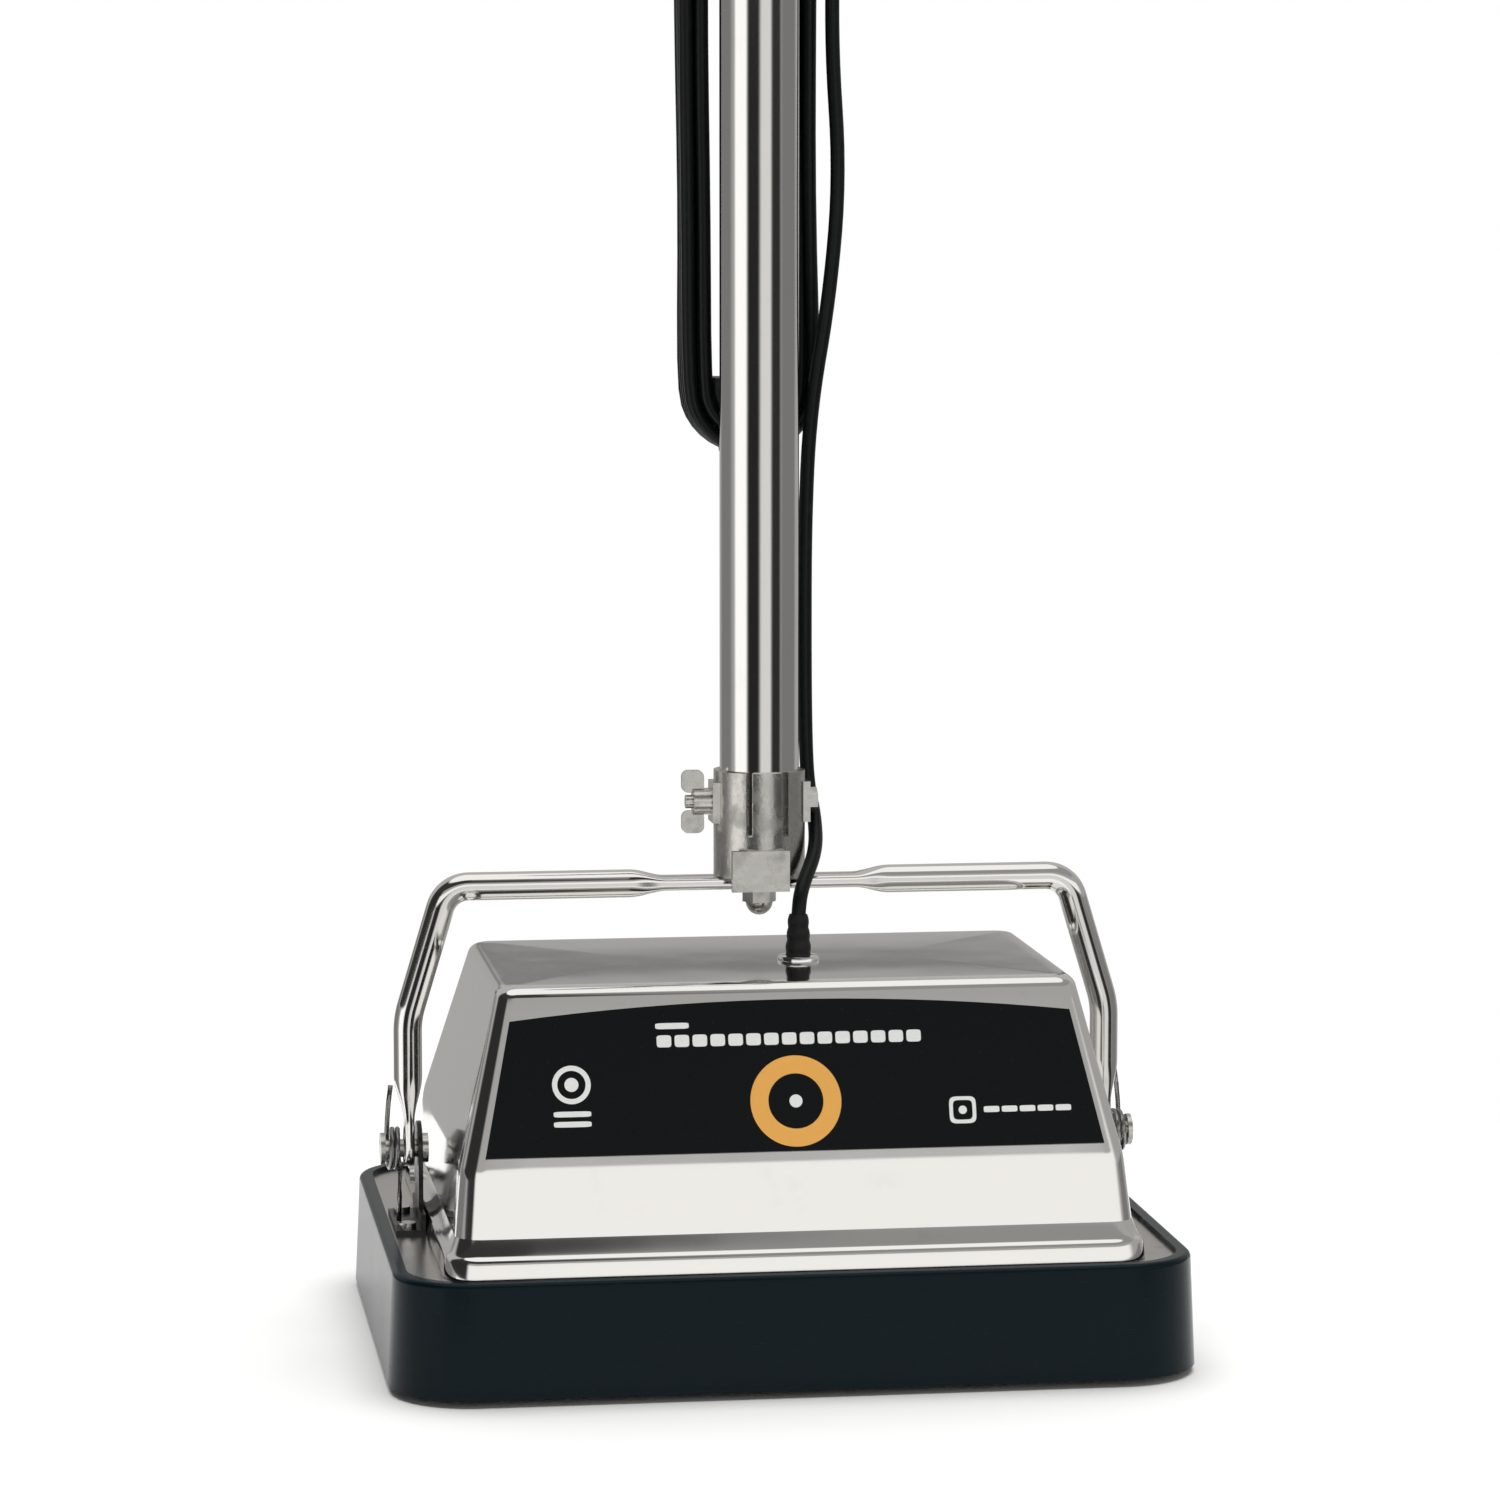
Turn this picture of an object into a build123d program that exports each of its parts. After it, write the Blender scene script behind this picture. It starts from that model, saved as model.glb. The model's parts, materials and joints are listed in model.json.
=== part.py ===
from build123d import *
import math
import os

# Twin-brush floor polisher. Origin: floor, centre of the footprint. +X is the machine's right as seen
# from the front, -Y is the front, +Z is up. The handle stands upright. All sizes in millimetres.

# driving dimensions
BASE_WIDTH = 343
BASE_DEPTH = 280
TOTAL_HEIGHT = 1130
BRUSH_SPACING = 156
CORD_D = 6.4
TUBE_R = 17.5
PIVOT_Z = 84
CROSSBAR_Z = 200
GAP = 0.02  # radial room of a fit inside one body
RUN = 0.04  # radial room of a running fit

# bumper and base casting
BUMPER_BOTTOM = 3
BUMPER_TOP = 52
BUMPER_DRAFT = 2.2  # how much wider each side is at the floor
BUMPER_WALL = 6
CORNER_R = 34
DECK_TOP = 50
DECK_THICK = 4
SKIRT_BOTTOM = 18
SKIRT_WALL = 4
TONGUE_Z = 28
TONGUE_THICK = 4
TONGUE_OUT = 3

# gears and brushes
MODULE = 2
GEAR_TEETH = 78
PINION_TEETH = 12
GEAR_Z = 31
GEAR_THICK = 10
ADDENDUM = 1.4
DEDENDUM = 1.9
BACKLASH = 0.25
WEB_HOLES = 6
WEB_HOLE_R = 11
WEB_HOLE_PITCH_R = 45
PRESSURE_ANGLE = math.radians(20)
ROTOR_X = -5
SPINDLE_R = 6
BRUSH_R = 74
BLOCK_Z = 12
BLOCK_THICK = 7
COVER_Z = 24
COVER_THICK = 2
COVER_X = 314
COVER_Y = 160
COVER_POSTS = [(x, y) for x in (-147, 0, 147) for y in (-74, 74)]
BEARING_OUT_R = 14
BEARING_THICK = 8
LOWER_BEARING_Z = 21
UPPER_BEARING_Z = 44
BOSS_R = 18

# motor
SHAFT_R = 4
MOTOR_R = 40
SHELL_WALL = 2
MOTOR_FLANGE = 2.5
SHELL_TOP = 120
BELL_TOP = 150
STATOR_Z = (74, 116)
FAN_Z = (59, 68)
FAN_R = 33
SLOTS = 12
ROTOR_BEARING_R = 11
POLE_R = 22.2
ARMATURE_R = 21.4
COMMUTATOR_R = 12
COMMUTATOR_Z = (123, 135)
HOLDER_HALF = 5

# hood: levels as (z, half width, front y, back y, corner radius)
HOOD_LEVELS = [(52, 147, -124, 114, 12), (94, 142.5, -115, 104, 10), (169, 124.5, -91, 52, 8)]
HOOD_SHEET = 1.5
TRIM_OUT = 2.6
TRIM_TOP = 64
HOOD_SCREW_X = 90
HOOD_SCREW_Y = 64
PANEL_REACH = (-33.5, 24.5)  # down and up the slope from the face's middle
PANEL_HALF = (132.5, 120.5)
PANEL_ARCH = 7
PANEL_THICK = 1
LEAD_X = 13
LEAD_Y = -30

# bail and pivots
BAIL_R = 6.25
PIVOT_X = 156.5
BRACKET_FOOT = 2
TONGUE_HALF = 2.5
TONGUE_WIDE = 16
BAIL_TOP_X = 139
BAIL_FLAT_X = 52
BAIL_FLAT_Y = 15
BAIL_FLAT_Z = 6
EAR_X = (151, 153)
PIN_R = 4
SPRING_R = 8.6
SPRING_WIRE_R = 1.1
SPRING_X = 165.5
SPRING_PITCH = 2.35
SPRING_TURNS = 2.25

# handle
SOCKET_R = 20.25
SOCKET_TOP = 250
CLAMP_Z = 236
CLAMP_R = 3
SOCKET_FLOOR = 3.5
SOCKET_BOLT_R = 4
PAD_OUT = 1.5
TUBE_BOTTOM = 210
TUBE_JOINT = 640
TUBE_TOP = 1030
TUBE_WALL = 1.5
GRIP_BOTTOM = 985
GRIP_R = 22
LOWER_HOOK_Z = 418
UPPER_HOOK_Z = 885
HOOK_R = 16.5
HANK_TURN_R = 17.2
HANK_WIDE = 13.4
HANK_Y = (20.5, 47.5)
LIP_Y = (48.5, 52)
HOOK_SCREWS = (22, 38)  # how far inward of a hook its two screws are

# grip and switch
GRIP_SWEEP_R = 45
GRIP_PATH = [(0, 0, GRIP_BOTTOM), (0, 0, 1062), (0, 62, TOTAL_HEIGHT - 17)]
GRIP_SCREWS = [(30, 1085), (58, 1113)]
GRIP_SCREW_SEAT = 12
LUG_X = (-9, 33)
LUG_Y = (8, 33)
LUG_TALL = 26
SWITCH_Z = (1004, 1048)
SLIDER_Y = -26
SLIDER_REST_Z = 1020
SLIDER_HALF = 12
RELIEF_NECK_R = 5
RELIEF_LONG = 30
MAINS_EXIT = (-1.0, 26.0)
LEAD_EXIT = (24.0, 20.0)

# small screws: shank, its room in a threaded hole, its room in a clear hole
SHANK_R = 1.9
HEAD_R = 3.8
THREAD_HOLE_R = 1.95
CLEAR_HOLE_R = 2.2

# cords
STUB_TOP = 179
RELIEF_END_Z = GRIP_BOTTOM - RELIEF_LONG
PLUG_X = -17.0
PLUG_Y = 58.0
PLUG_TOP = 760
LEAD_ROUTE = [
    (LEAD_X, LEAD_Y, STUB_TOP),
    (LEAD_X, LEAD_Y, 189),
    (15.0, -25.2, 200),
    (24.4, -8.3, 214),
    (26.0, 7.2, 228),
    (23.6, 11.6, 241),
    (22.4, 11.0, 262),
    (21.6, 8.6, 302),
    (22.0, 10.5, 360),
    (24.0, 9.0, 408),
    (33.0, 11.0, 458),
    (38.0, 14.0, 512),
    (34.0, 15.0, 570),
    (35.5, 15.5, 630),
    (34.5, 14.0, 690),
    (36.5, 15.0, 750),
    (35.0, 14.5, 810),
    (34.5, 15.5, 868),
    (27.0, 17.0, 912),
    (LEAD_EXIT[0], LEAD_EXIT[1] - 0.5, 936),
    (*LEAD_EXIT, RELIEF_END_Z),
]
MAINS_ROUTE = [
    (*MAINS_EXIT, RELIEF_END_Z),
    (-1.5, 26.5, 944),
    (-1.0, 27.5, 932),
    (-1.0, 28.0, 915.7),
]
TAIL_ROUTE = [
    (-17.5, 51.2, 868),
    (-17.5, 54.0, 850),
    (-17.3, 57.0, 828),
    (PLUG_X, PLUG_Y, 800),
    (PLUG_X, PLUG_Y, PLUG_TOP),
]


def ring(outer, inner, low, high, at=(0, 0)):
    """An upright tube from z = low to z = high."""
    body = cylinder(outer, low, high, at)
    return body - cylinder(inner, low - 1, high + 1, at)


def cylinder(radius, low, high, at=(0, 0)):
    """An upright cylinder from z = low to z = high."""
    place = Pos(at[0], at[1], (low + high) / 2)
    return place * Cylinder(radius, high - low)


def rod_x(radius, low, high, y, z):
    """A cylinder along X from x = low to x = high."""
    return Pos((low + high) / 2, y, z) * Rot(0, 90, 0) * Cylinder(radius, high - low)


def rod_y(radius, low, high, x, z):
    """A cylinder along Y from y = low to y = high."""
    return Pos(x, (low + high) / 2, z) * Rot(90, 0, 0) * Cylinder(radius, high - low)


def box(x, y, z):
    """A box from its low and high values on each axis."""
    middle = Pos((x[0] + x[1]) / 2, (y[0] + y[1]) / 2, (z[0] + z[1]) / 2)
    return middle * Box(x[1] - x[0], y[1] - y[0], z[1] - z[0])


def slab(wide, deep, radius, low, high):
    """A block with rounded upright corners, centred on the origin."""
    outline = Pos(0, 0, low) * RectangleRounded(wide, deep, radius)
    return extrude(outline, high - low)


def both_sides(piece):
    """The piece and its mirror image across X = 0, as separate solids."""
    return Compound(children=[piece, mirror(piece, Plane.YZ)])


def write(name, piece):
    """Write one node's STEP file."""
    export_step(piece, f"parts/{name}.step")


def screw(x, y, low, high):
    """An upright pan-head screw whose head is above z = high."""
    return cylinder(SHANK_R, low, high, (x, y)) + cylinder(HEAD_R, high, high + 2.4, (x, y))


# bumper, casting and the cover under the gears

def bumper():
    """A rubber ring, wider at the floor, with a groove that holds the casting's tongue."""
    wide = BASE_WIDTH + 2 * BUMPER_DRAFT
    deep = BASE_DEPTH + 2 * BUMPER_DRAFT
    height = BUMPER_TOP - BUMPER_BOTTOM
    outline = Pos(0, 0, BUMPER_BOTTOM) * RectangleRounded(wide, deep, CORNER_R + BUMPER_DRAFT)
    body = extrude(outline, height, taper=math.degrees(math.atan(BUMPER_DRAFT / height)))
    top_edges = body.faces().sort_by(Axis.Z)[-1].edges()
    body = fillet(top_edges, 2.5)
    hole_x = BASE_WIDTH - 2 * BUMPER_WALL
    hole_y = BASE_DEPTH - 2 * BUMPER_WALL
    body -= slab(hole_x, hole_y, CORNER_R - BUMPER_WALL, 0, BUMPER_TOP + 1)
    groove = 2 * (TONGUE_OUT + 0.1)
    low = TONGUE_Z - TONGUE_THICK / 2 - 0.1
    high = TONGUE_Z + TONGUE_THICK / 2 + 0.1
    return body - slab(hole_x + groove, hole_y + groove, CORNER_R - 3, low, high)


def casting():
    """The die-cast deck: plate, skirt, tongue, cover posts, bearing bosses and hood lugs."""
    room = 0.2
    wide = BASE_WIDTH - 2 * BUMPER_WALL - room
    deep = BASE_DEPTH - 2 * BUMPER_WALL - room
    radius = CORNER_R - BUMPER_WALL
    body = slab(wide, deep, radius, SKIRT_BOTTOM, DECK_TOP)
    inner_r = radius - SKIRT_WALL
    deck_low = DECK_TOP - DECK_THICK
    body -= slab(wide - 2 * SKIRT_WALL, deep - 2 * SKIRT_WALL, inner_r, 0, deck_low)
    tongue_low = TONGUE_Z - TONGUE_THICK / 2
    tongue_high = tongue_low + TONGUE_THICK
    tongue = slab(wide + 2 * TONGUE_OUT, deep + 2 * TONGUE_OUT, radius + TONGUE_OUT, tongue_low, tongue_high)
    body += tongue - slab(wide - 2, deep - 2, radius - 1, 0, DECK_TOP)
    for x, y in COVER_POSTS:
        body += cylinder(5, COVER_Z + COVER_THICK, deck_low, (x, y))
        body -= cylinder(THREAD_HOLE_R, 0, COVER_Z + 18, (x, y))
    for x in (-BRUSH_SPACING / 2, BRUSH_SPACING / 2):
        body += cylinder(BOSS_R, UPPER_BEARING_Z - 1, DECK_TOP + 5, (x, 0))
        body -= cylinder(BEARING_OUT_R + GAP, UPPER_BEARING_Z, DECK_TOP + 6, (x, 0))
        body -= cylinder(SPINDLE_R + 2, 0, DECK_TOP, (x, 0))
    rotor = (ROTOR_X, rotor_y())
    body += cylinder(15, UPPER_BEARING_Z - 1, DECK_TOP + 5, rotor)
    body -= cylinder(ROTOR_BEARING_R + GAP, UPPER_BEARING_Z + 2, DECK_TOP + 6, rotor)
    body -= cylinder(SHAFT_R + 2, 0, DECK_TOP, rotor)
    for x, y in motor_screw_places():
        body -= cylinder(THREAD_HOLE_R, deck_low - 1, DECK_TOP + 1, (x, y))
    for lug in hood_lugs():
        body += lug
    for hole in hood_screw_rods(THREAD_HOLE_R, 16):
        body -= hole
    for x, y in bracket_screw_places():
        body -= cylinder(THREAD_HOLE_R, deck_low - 1, DECK_TOP + 1, (x, y))
    return body


def hood_lugs():
    """Upright lugs on the deck that the hood's screws bite into."""
    back = HOOD_LEVELS[0][3]
    side = HOOD_LEVELS[0][1]
    z = (DECK_TOP, DECK_TOP + 16)
    lugs = [box((x - 6, x + 6), (back - 16, back - 7), z) for x in (-HOOD_SCREW_X, HOOD_SCREW_X)]
    y = (HOOD_SCREW_Y - 6, HOOD_SCREW_Y + 6)
    lugs += [box(sorted((s * (side - 13), s * (side - 5))), y, z) for s in (-1, 1)]
    return lugs


def gear_cover():
    """A pressed plate that closes the gear space and holds the lower bearings."""
    body = slab(COVER_X, COVER_Y, 16, COVER_Z, COVER_Z + COVER_THICK)
    top = LOWER_BEARING_Z + BEARING_THICK
    for x in (-BRUSH_SPACING / 2, BRUSH_SPACING / 2):
        body += cylinder(BOSS_R, LOWER_BEARING_Z, top, (x, 0))
        body -= cylinder(BEARING_OUT_R + GAP, 0, top + 1, (x, 0))
    for x, y in COVER_POSTS:
        body -= cylinder(CLEAR_HOLE_R, 0, COVER_Z + 5, (x, y))
    return body


def gear_cover_screws():
    """Six screws, heads down, that hold the gear cover to the casting's posts."""
    screws = []
    for post in COVER_POSTS:
        shank = cylinder(SHANK_R, COVER_Z, COVER_Z + 16, post)
        screws.append(shank + cylinder(3.6, COVER_Z - 2, COVER_Z, post))
    return Compound(children=screws)


def spindle_bearings():
    """Upper and lower bearings of both brush spindles."""
    rings = []
    for x in (-BRUSH_SPACING / 2, BRUSH_SPACING / 2):
        for low in (LOWER_BEARING_Z, UPPER_BEARING_Z):
            rings.append(ring(BEARING_OUT_R, SPINDLE_R + RUN, low, low + BEARING_THICK, (x, 0)))
    return Compound(children=rings)


# gears

def rotor_y():
    """The motor stands in front of the left gear, at the distance that meshes."""
    across = BRUSH_SPACING / 2 + ROTOR_X
    reach = MODULE * (GEAR_TEETH + PINION_TEETH) / 2
    return -math.sqrt(reach**2 - across**2)


def flank_point(base_r, radius, half_at_base, side):
    """A point of an involute flank at a radius, on one side of the tooth's centre line."""
    roll = math.sqrt(max((radius / base_r) ** 2 - 1, 0))
    angle = side * (half_at_base - (roll - math.atan(roll)))
    return (radius * math.cos(angle), radius * math.sin(angle))


def gear_outline(teeth, phase):
    """A spur gear's outline with a tooth centred on the angle phase, in radians."""
    pitch_r = MODULE * teeth / 2
    base_r = pitch_r * math.cos(PRESSURE_ANGLE)
    root_r = pitch_r - DEDENDUM
    tip_r = pitch_r + ADDENDUM
    involute = math.tan(PRESSURE_ANGLE) - PRESSURE_ANGLE
    half = (math.pi * MODULE / 2 - BACKLASH) / 2 / pitch_r + involute
    start_r = max(root_r, base_r)
    radii = (start_r, (start_r + tip_r) / 2, tip_r)
    edges = []
    last = None
    for k in range(teeth + 1):
        turn = phase + 2 * math.pi * k / teeth
        low, high = [[spun(flank_point(base_r, r, half, s), turn) for r in radii] for s in (-1, 1)]
        foot_in = polar(root_r, math.atan2(low[0][1], low[0][0]))
        foot_out = polar(root_r, math.atan2(high[0][1], high[0][0]))
        if last is not None:
            edges.append(Line(last, foot_in))
        if k == teeth:
            break
        if base_r > root_r:
            edges.append(Line(foot_in, low[0]))
        edges.append(ThreePointArc(*low))
        edges.append(Line(low[2], high[2]))
        edges.append(ThreePointArc(*high[::-1]))
        if base_r > root_r:
            edges.append(Line(high[0], foot_out))
        last = foot_out
    return make_face(edges)


def spun(point, angle):
    """A point turned about the origin."""
    x, y = point
    return (x * math.cos(angle) - y * math.sin(angle), x * math.sin(angle) + y * math.cos(angle))


def polar(radius, angle):
    """A point from its radius and angle."""
    return (radius * math.cos(angle), radius * math.sin(angle))


def gear(side):
    """A laminated fibre gear: the two mesh with each other between the brushes."""
    phase = 0 if side < 0 else math.pi / GEAR_TEETH
    at = Pos(side * BRUSH_SPACING / 2, 0, GEAR_Z)
    body = at * extrude(gear_outline(GEAR_TEETH, phase), GEAR_THICK)
    for k in range(WEB_HOLES):
        x, y = polar(WEB_HOLE_PITCH_R, 2 * math.pi * (k + 0.5) / WEB_HOLES)
        body -= cylinder(WEB_HOLE_R, 0, PIVOT_Z, (x + side * BRUSH_SPACING / 2, y))
    return body - cylinder(SPINDLE_R + GAP, 0, PIVOT_Z, (side * BRUSH_SPACING / 2, 0))


def pinion():
    """The motor pinion, turned so that a gap of it receives a tooth of the left gear."""
    y = rotor_y()
    towards = math.atan2(y, ROTOR_X + BRUSH_SPACING / 2)
    pitch = 2 * math.pi / GEAR_TEETH
    off = round(towards / pitch) * pitch - towards
    gap_at = towards + math.pi - off * GEAR_TEETH / PINION_TEETH
    phase = gap_at + math.pi / PINION_TEETH
    body = extrude(gear_outline(PINION_TEETH, phase), GEAR_THICK)
    body -= Cylinder(SHAFT_R + GAP, 60)
    return Pos(ROTOR_X, y, GEAR_Z) * body


# brushes

def spindle(side):
    """A brush spindle with its drive flange and cross pin."""
    at = (side * BRUSH_SPACING / 2, 0)
    body = cylinder(SPINDLE_R, BLOCK_Z + 1, UPPER_BEARING_Z + BEARING_THICK + 1, at)
    return body + cylinder(13, BLOCK_Z + BLOCK_THICK, BLOCK_Z + BLOCK_THICK + 1.5, at)


def brush_block(side):
    """The round plate that carries the bristles."""
    at = (side * BRUSH_SPACING / 2, 0)
    body = cylinder(BRUSH_R - 1, BLOCK_Z, BLOCK_Z + BLOCK_THICK, at)
    body = fillet(body.edges().sort_by(Axis.Z)[-1], 2.5)
    return body - cylinder(SPINDLE_R + GAP, 0, 60, at)


def bristles(side):
    """The bristle ring, a plain closed solid that stands on the floor."""
    return ring(BRUSH_R, 22, 0, BLOCK_Z, (side * BRUSH_SPACING / 2, 0))


# motor

def motor_screw_places():
    """Four places round the motor's flange."""
    places = [polar(MOTOR_R + 5, math.radians(turn)) for turn in (45, 135, 225, 315)]
    return [(ROTOR_X + x, rotor_y() + y) for x, y in places]


def motor_shell():
    """The motor's can, with a flange on the deck and cooling slots at the fan."""
    at = (ROTOR_X, rotor_y())
    body = cylinder(MOTOR_R, DECK_TOP, SHELL_TOP, at)
    body += cylinder(MOTOR_R + 9, DECK_TOP, DECK_TOP + MOTOR_FLANGE, at)
    body -= cylinder(MOTOR_R - SHELL_WALL, DECK_TOP - 1, SHELL_TOP + 1, at)
    slot = Box(3 * MOTOR_R, 12, 7)
    for turn in range(0, 180, 30):
        body -= Pos(*at, FAN_Z[0] + 4) * Rot(0, 0, turn) * slot
    for x, y in motor_screw_places():
        body -= cylinder(CLEAR_HOLE_R, 0, DECK_TOP + 5, (x, y))
    return body


def deck_screws():
    """Eight equal screws into the deck: four hold the motor and four the pivot brackets."""
    low = DECK_TOP - DECK_THICK
    places = [(x, y, MOTOR_FLANGE) for x, y in motor_screw_places()]
    places += [(x, y, BRACKET_FOOT) for x, y in bracket_screw_places()]
    return Compound(children=[screw(x, y, low, DECK_TOP + under) for x, y, under in places])


def sector(outer, inner, low, high, half_angle, middle):
    """A piece of a ring about the motor's axis, 2 x half_angle wide, in degrees."""
    reach = outer * 1.5
    angles = [math.radians(middle + half_angle * f) for f in (-1, -0.5, 0, 0.5, 1)]
    corners = [(reach * math.cos(a), reach * math.sin(a)) for a in angles]
    wedge = extrude(Pos(0, 0, low) * make_face(Polyline((0, 0), *corners, close=True)), high - low)
    return Pos(ROTOR_X, rotor_y(), 0) * (wedge & ring(outer, inner, low, high))


def stator_core():
    """The laminated stack: a ring with two poles."""
    low, high = STATOR_Z
    at = (ROTOR_X, rotor_y())
    body = ring(MOTOR_R - SHELL_WALL - GAP, 31, low, high, at)
    for middle in (0, 180):
        body += sector(31.5, POLE_R, low, high, 48, middle)
    return body


def field_coils():
    """Two copper coils, one round each pole."""
    low, high = STATOR_Z
    coils = []
    for middle in (0, 180):
        block = sector(30.8, 23.5, low - 5, high + 4, 80, middle)
        coils.append(block - sector(36, 20, low - 0.2, high + 0.2, 48.8, middle))
    return Compound(children=coils)


def end_bell():
    """The upper bearing shield, with slots for the carbon brush holders."""
    at = (ROTOR_X, rotor_y())
    body = cylinder(MOTOR_R, SHELL_TOP, BELL_TOP, at)
    body = fillet(body.edges().sort_by(Axis.Z)[-1], 5)
    body -= cylinder(MOTOR_R - 3, SHELL_TOP - 1, BELL_TOP - 4, at)
    body += ring(15, ROTOR_BEARING_R + GAP, BELL_TOP - 11, BELL_TOP - 3, at)
    body -= cylinder(SHAFT_R + 2, BELL_TOP - 5, BELL_TOP - 2, at)
    low, high = holder_z()
    y = (at[1] - HOLDER_HALF - GAP, at[1] + HOLDER_HALF + GAP)
    return body - box((at[0] - MOTOR_R, at[0] + MOTOR_R), y, (low - GAP, high + GAP))


def holder_z():
    """Lowest and highest of the carbon brush holders."""
    middle = sum(COMMUTATOR_Z) / 2
    return middle - 4, middle + 4


def brush_holders():
    """Two brass holders, each with its carbon, opposite each other on the commutator."""
    low, high = holder_z()
    x, y = ROTOR_X, rotor_y()
    carbon = box((COMMUTATOR_R + 0.4, 16), (-3, 3), (low + 1.5, high - 1.5))
    holder = box((15, 42), (-HOLDER_HALF, HOLDER_HALF), (low, high)) + carbon
    pair = [Pos(x, y, 0) * Rot(0, 0, turn) * holder for turn in (0, 180)]
    return Compound(children=pair)


def rotor_bearings():
    """The motor shaft's lower and upper bearings."""
    at = (ROTOR_X, rotor_y())
    lows = (UPPER_BEARING_Z + 2, BELL_TOP - 11)
    return Compound(children=[ring(ROTOR_BEARING_R, SHAFT_R + RUN, low, low + 7, at) for low in lows])


def rotor_shaft():
    """The motor shaft."""
    return cylinder(SHAFT_R, GEAR_Z - 1, BELL_TOP - 3.5, (ROTOR_X, rotor_y()))


def armature_bars(x, half_wide, low, high):
    """Radial bars about the motor's axis, one for each slot of the armature."""
    bar = box(x, (-half_wide, half_wide), (low, high))
    return [Pos(ROTOR_X, rotor_y(), 0) * Rot(0, 0, 360 / SLOTS * k) * bar for k in range(SLOTS)]


def armature_core():
    """The slotted steel stack on the shaft."""
    low, high = STATOR_Z
    body = ring(ARMATURE_R, SHAFT_R + GAP, low + 1, high - 1, (ROTOR_X, rotor_y()))
    for bar in armature_bars((11, ARMATURE_R + 1), 1.7, low, high):
        body -= bar
    return body


def armature_winding():
    """The windings: bars in the slots, joined by the end turns."""
    low, high = STATOR_Z
    at = (ROTOR_X, rotor_y())
    body = ring(19, SHAFT_R + GAP, low - 5, low + 0.98, at)
    body += ring(19, SHAFT_R + GAP, high - 0.98, high + 4, at)
    for bar in armature_bars((11.2, 18.8), 1.5, low, high):
        body += bar
    return body


def commutator():
    """The copper commutator."""
    return ring(COMMUTATOR_R, SHAFT_R + GAP, *COMMUTATOR_Z, (ROTOR_X, rotor_y()))


def cooling_fan():
    """A radial fan: a disc with ten blades."""
    at = (ROTOR_X, rotor_y())
    low, high = FAN_Z
    body = cylinder(9, low, high, at) + cylinder(FAN_R, low, low + 1.5, at)
    blade = box((8, FAN_R - 0.5), (-0.8, 0.8), (low + 1, high))
    for turn in range(0, 360, 36):
        body += Pos(*at, 0) * Rot(0, 0, turn) * blade
    return body - cylinder(SHAFT_R + GAP, low - 1, high + 1, at)


# hood and what is on it

def hood_block(inset, top_drop=0):
    """The hood's form as a closed block, its walls moved in by inset."""
    sections = []
    for z, half, front, back, radius in HOOD_LEVELS:
        outline = RectangleRounded(2 * (half - inset), back - front - 2 * inset, radius - inset)
        sections.append(Pos(0, (front + back) / 2, z) * outline)
    lower = loft(sections[:2], ruled=True)
    upper = loft(sections[1:], ruled=True)
    body = lower + upper
    if top_drop:
        roof = HOOD_LEVELS[-1][0]
        reach = (-BASE_WIDTH, BASE_WIDTH)
        body -= box(reach, reach, (roof - top_drop, roof + 1))
    return body


def hood():
    """The chromed sheet hood: open below, with holes for the lead and the screws."""
    outer = hood_block(0)
    top_edges = outer.faces().sort_by(Axis.Z)[-1].edges()
    outer = fillet(top_edges, 2.5)
    body = outer - hood_block(HOOD_SHEET, HOOD_SHEET)
    body -= cylinder(6 + GAP, 150, 180, (LEAD_X, LEAD_Y))
    for hole in hood_screw_rods(CLEAR_HOLE_R - 0.1, 14):
        body -= hole
    return body


def face_lean():
    """The slope of the hood's front, in degrees back from upright."""
    low, high = HOOD_LEVELS[1], HOOD_LEVELS[2]
    return math.degrees(math.atan2(high[2] - low[2], high[0] - low[0]))


def front_plane():
    """The plane of the sloping front face, its origin at the face's middle, its Y up the slope."""
    low, high = HOOD_LEVELS[1], HOOD_LEVELS[2]
    middle = (0, (low[2] + high[2]) / 2, (low[0] + high[0]) / 2)
    lean = math.radians(face_lean())
    normal = (0, -math.cos(lean), math.sin(lean))
    return Plane(origin=middle, x_dir=(1, 0, 0), z_dir=normal)


def front_panel():
    """The printed panel on the hood's sloping front, its upper edge gently arched."""
    low, high = PANEL_REACH
    wide, narrow = PANEL_HALF
    outline = make_face(
        [
            Line((-wide, low), (wide, low)),
            Line((wide, low), (narrow, high)),
            ThreePointArc((narrow, high), (0, high + PANEL_ARCH), (-narrow, high)),
            Line((-narrow, high), (-wide, low)),
        ]
    )
    return extrude(front_plane() * Pos(0, 0, 0.05) * outline, PANEL_THICK)


def hood_trim():
    """A chromed band round the foot of the hood."""
    z, half, front, back, radius = HOOD_LEVELS[0]
    centre = Pos(0, (front + back) / 2, 0)
    wide = 2 * (half + TRIM_OUT)
    deep = back - front + 2 * TRIM_OUT
    outer = centre * slab(wide, deep, radius + TRIM_OUT, DECK_TOP, TRIM_TOP)
    outer = fillet(outer.faces().sort_by(Axis.Z)[-1].edges(), 1.2)
    room = 2 * TRIM_OUT - 0.1
    inner = centre * slab(wide - room, deep - room, radius, DECK_TOP - 1, TRIM_TOP + 1)
    body = outer - inner
    for hole in hood_screw_rods(CLEAR_HOLE_R - 0.1, 14):
        body -= hole
    return body


def hood_screw_rods(radius, length):
    """The four hood screws' shanks, as rods of a radius, from outside to inside."""
    z = DECK_TOP + 9
    back = HOOD_LEVELS[0][3] + TRIM_OUT
    side = HOOD_LEVELS[0][1] + TRIM_OUT
    rods = [rod_y(radius, back - length, back, x, z) for x in (-HOOD_SCREW_X, HOOD_SCREW_X)]
    rods += [rod_x(radius, *sorted((s * (side - length), s * side)), HOOD_SCREW_Y, z) for s in (-1, 1)]
    return rods


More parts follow.
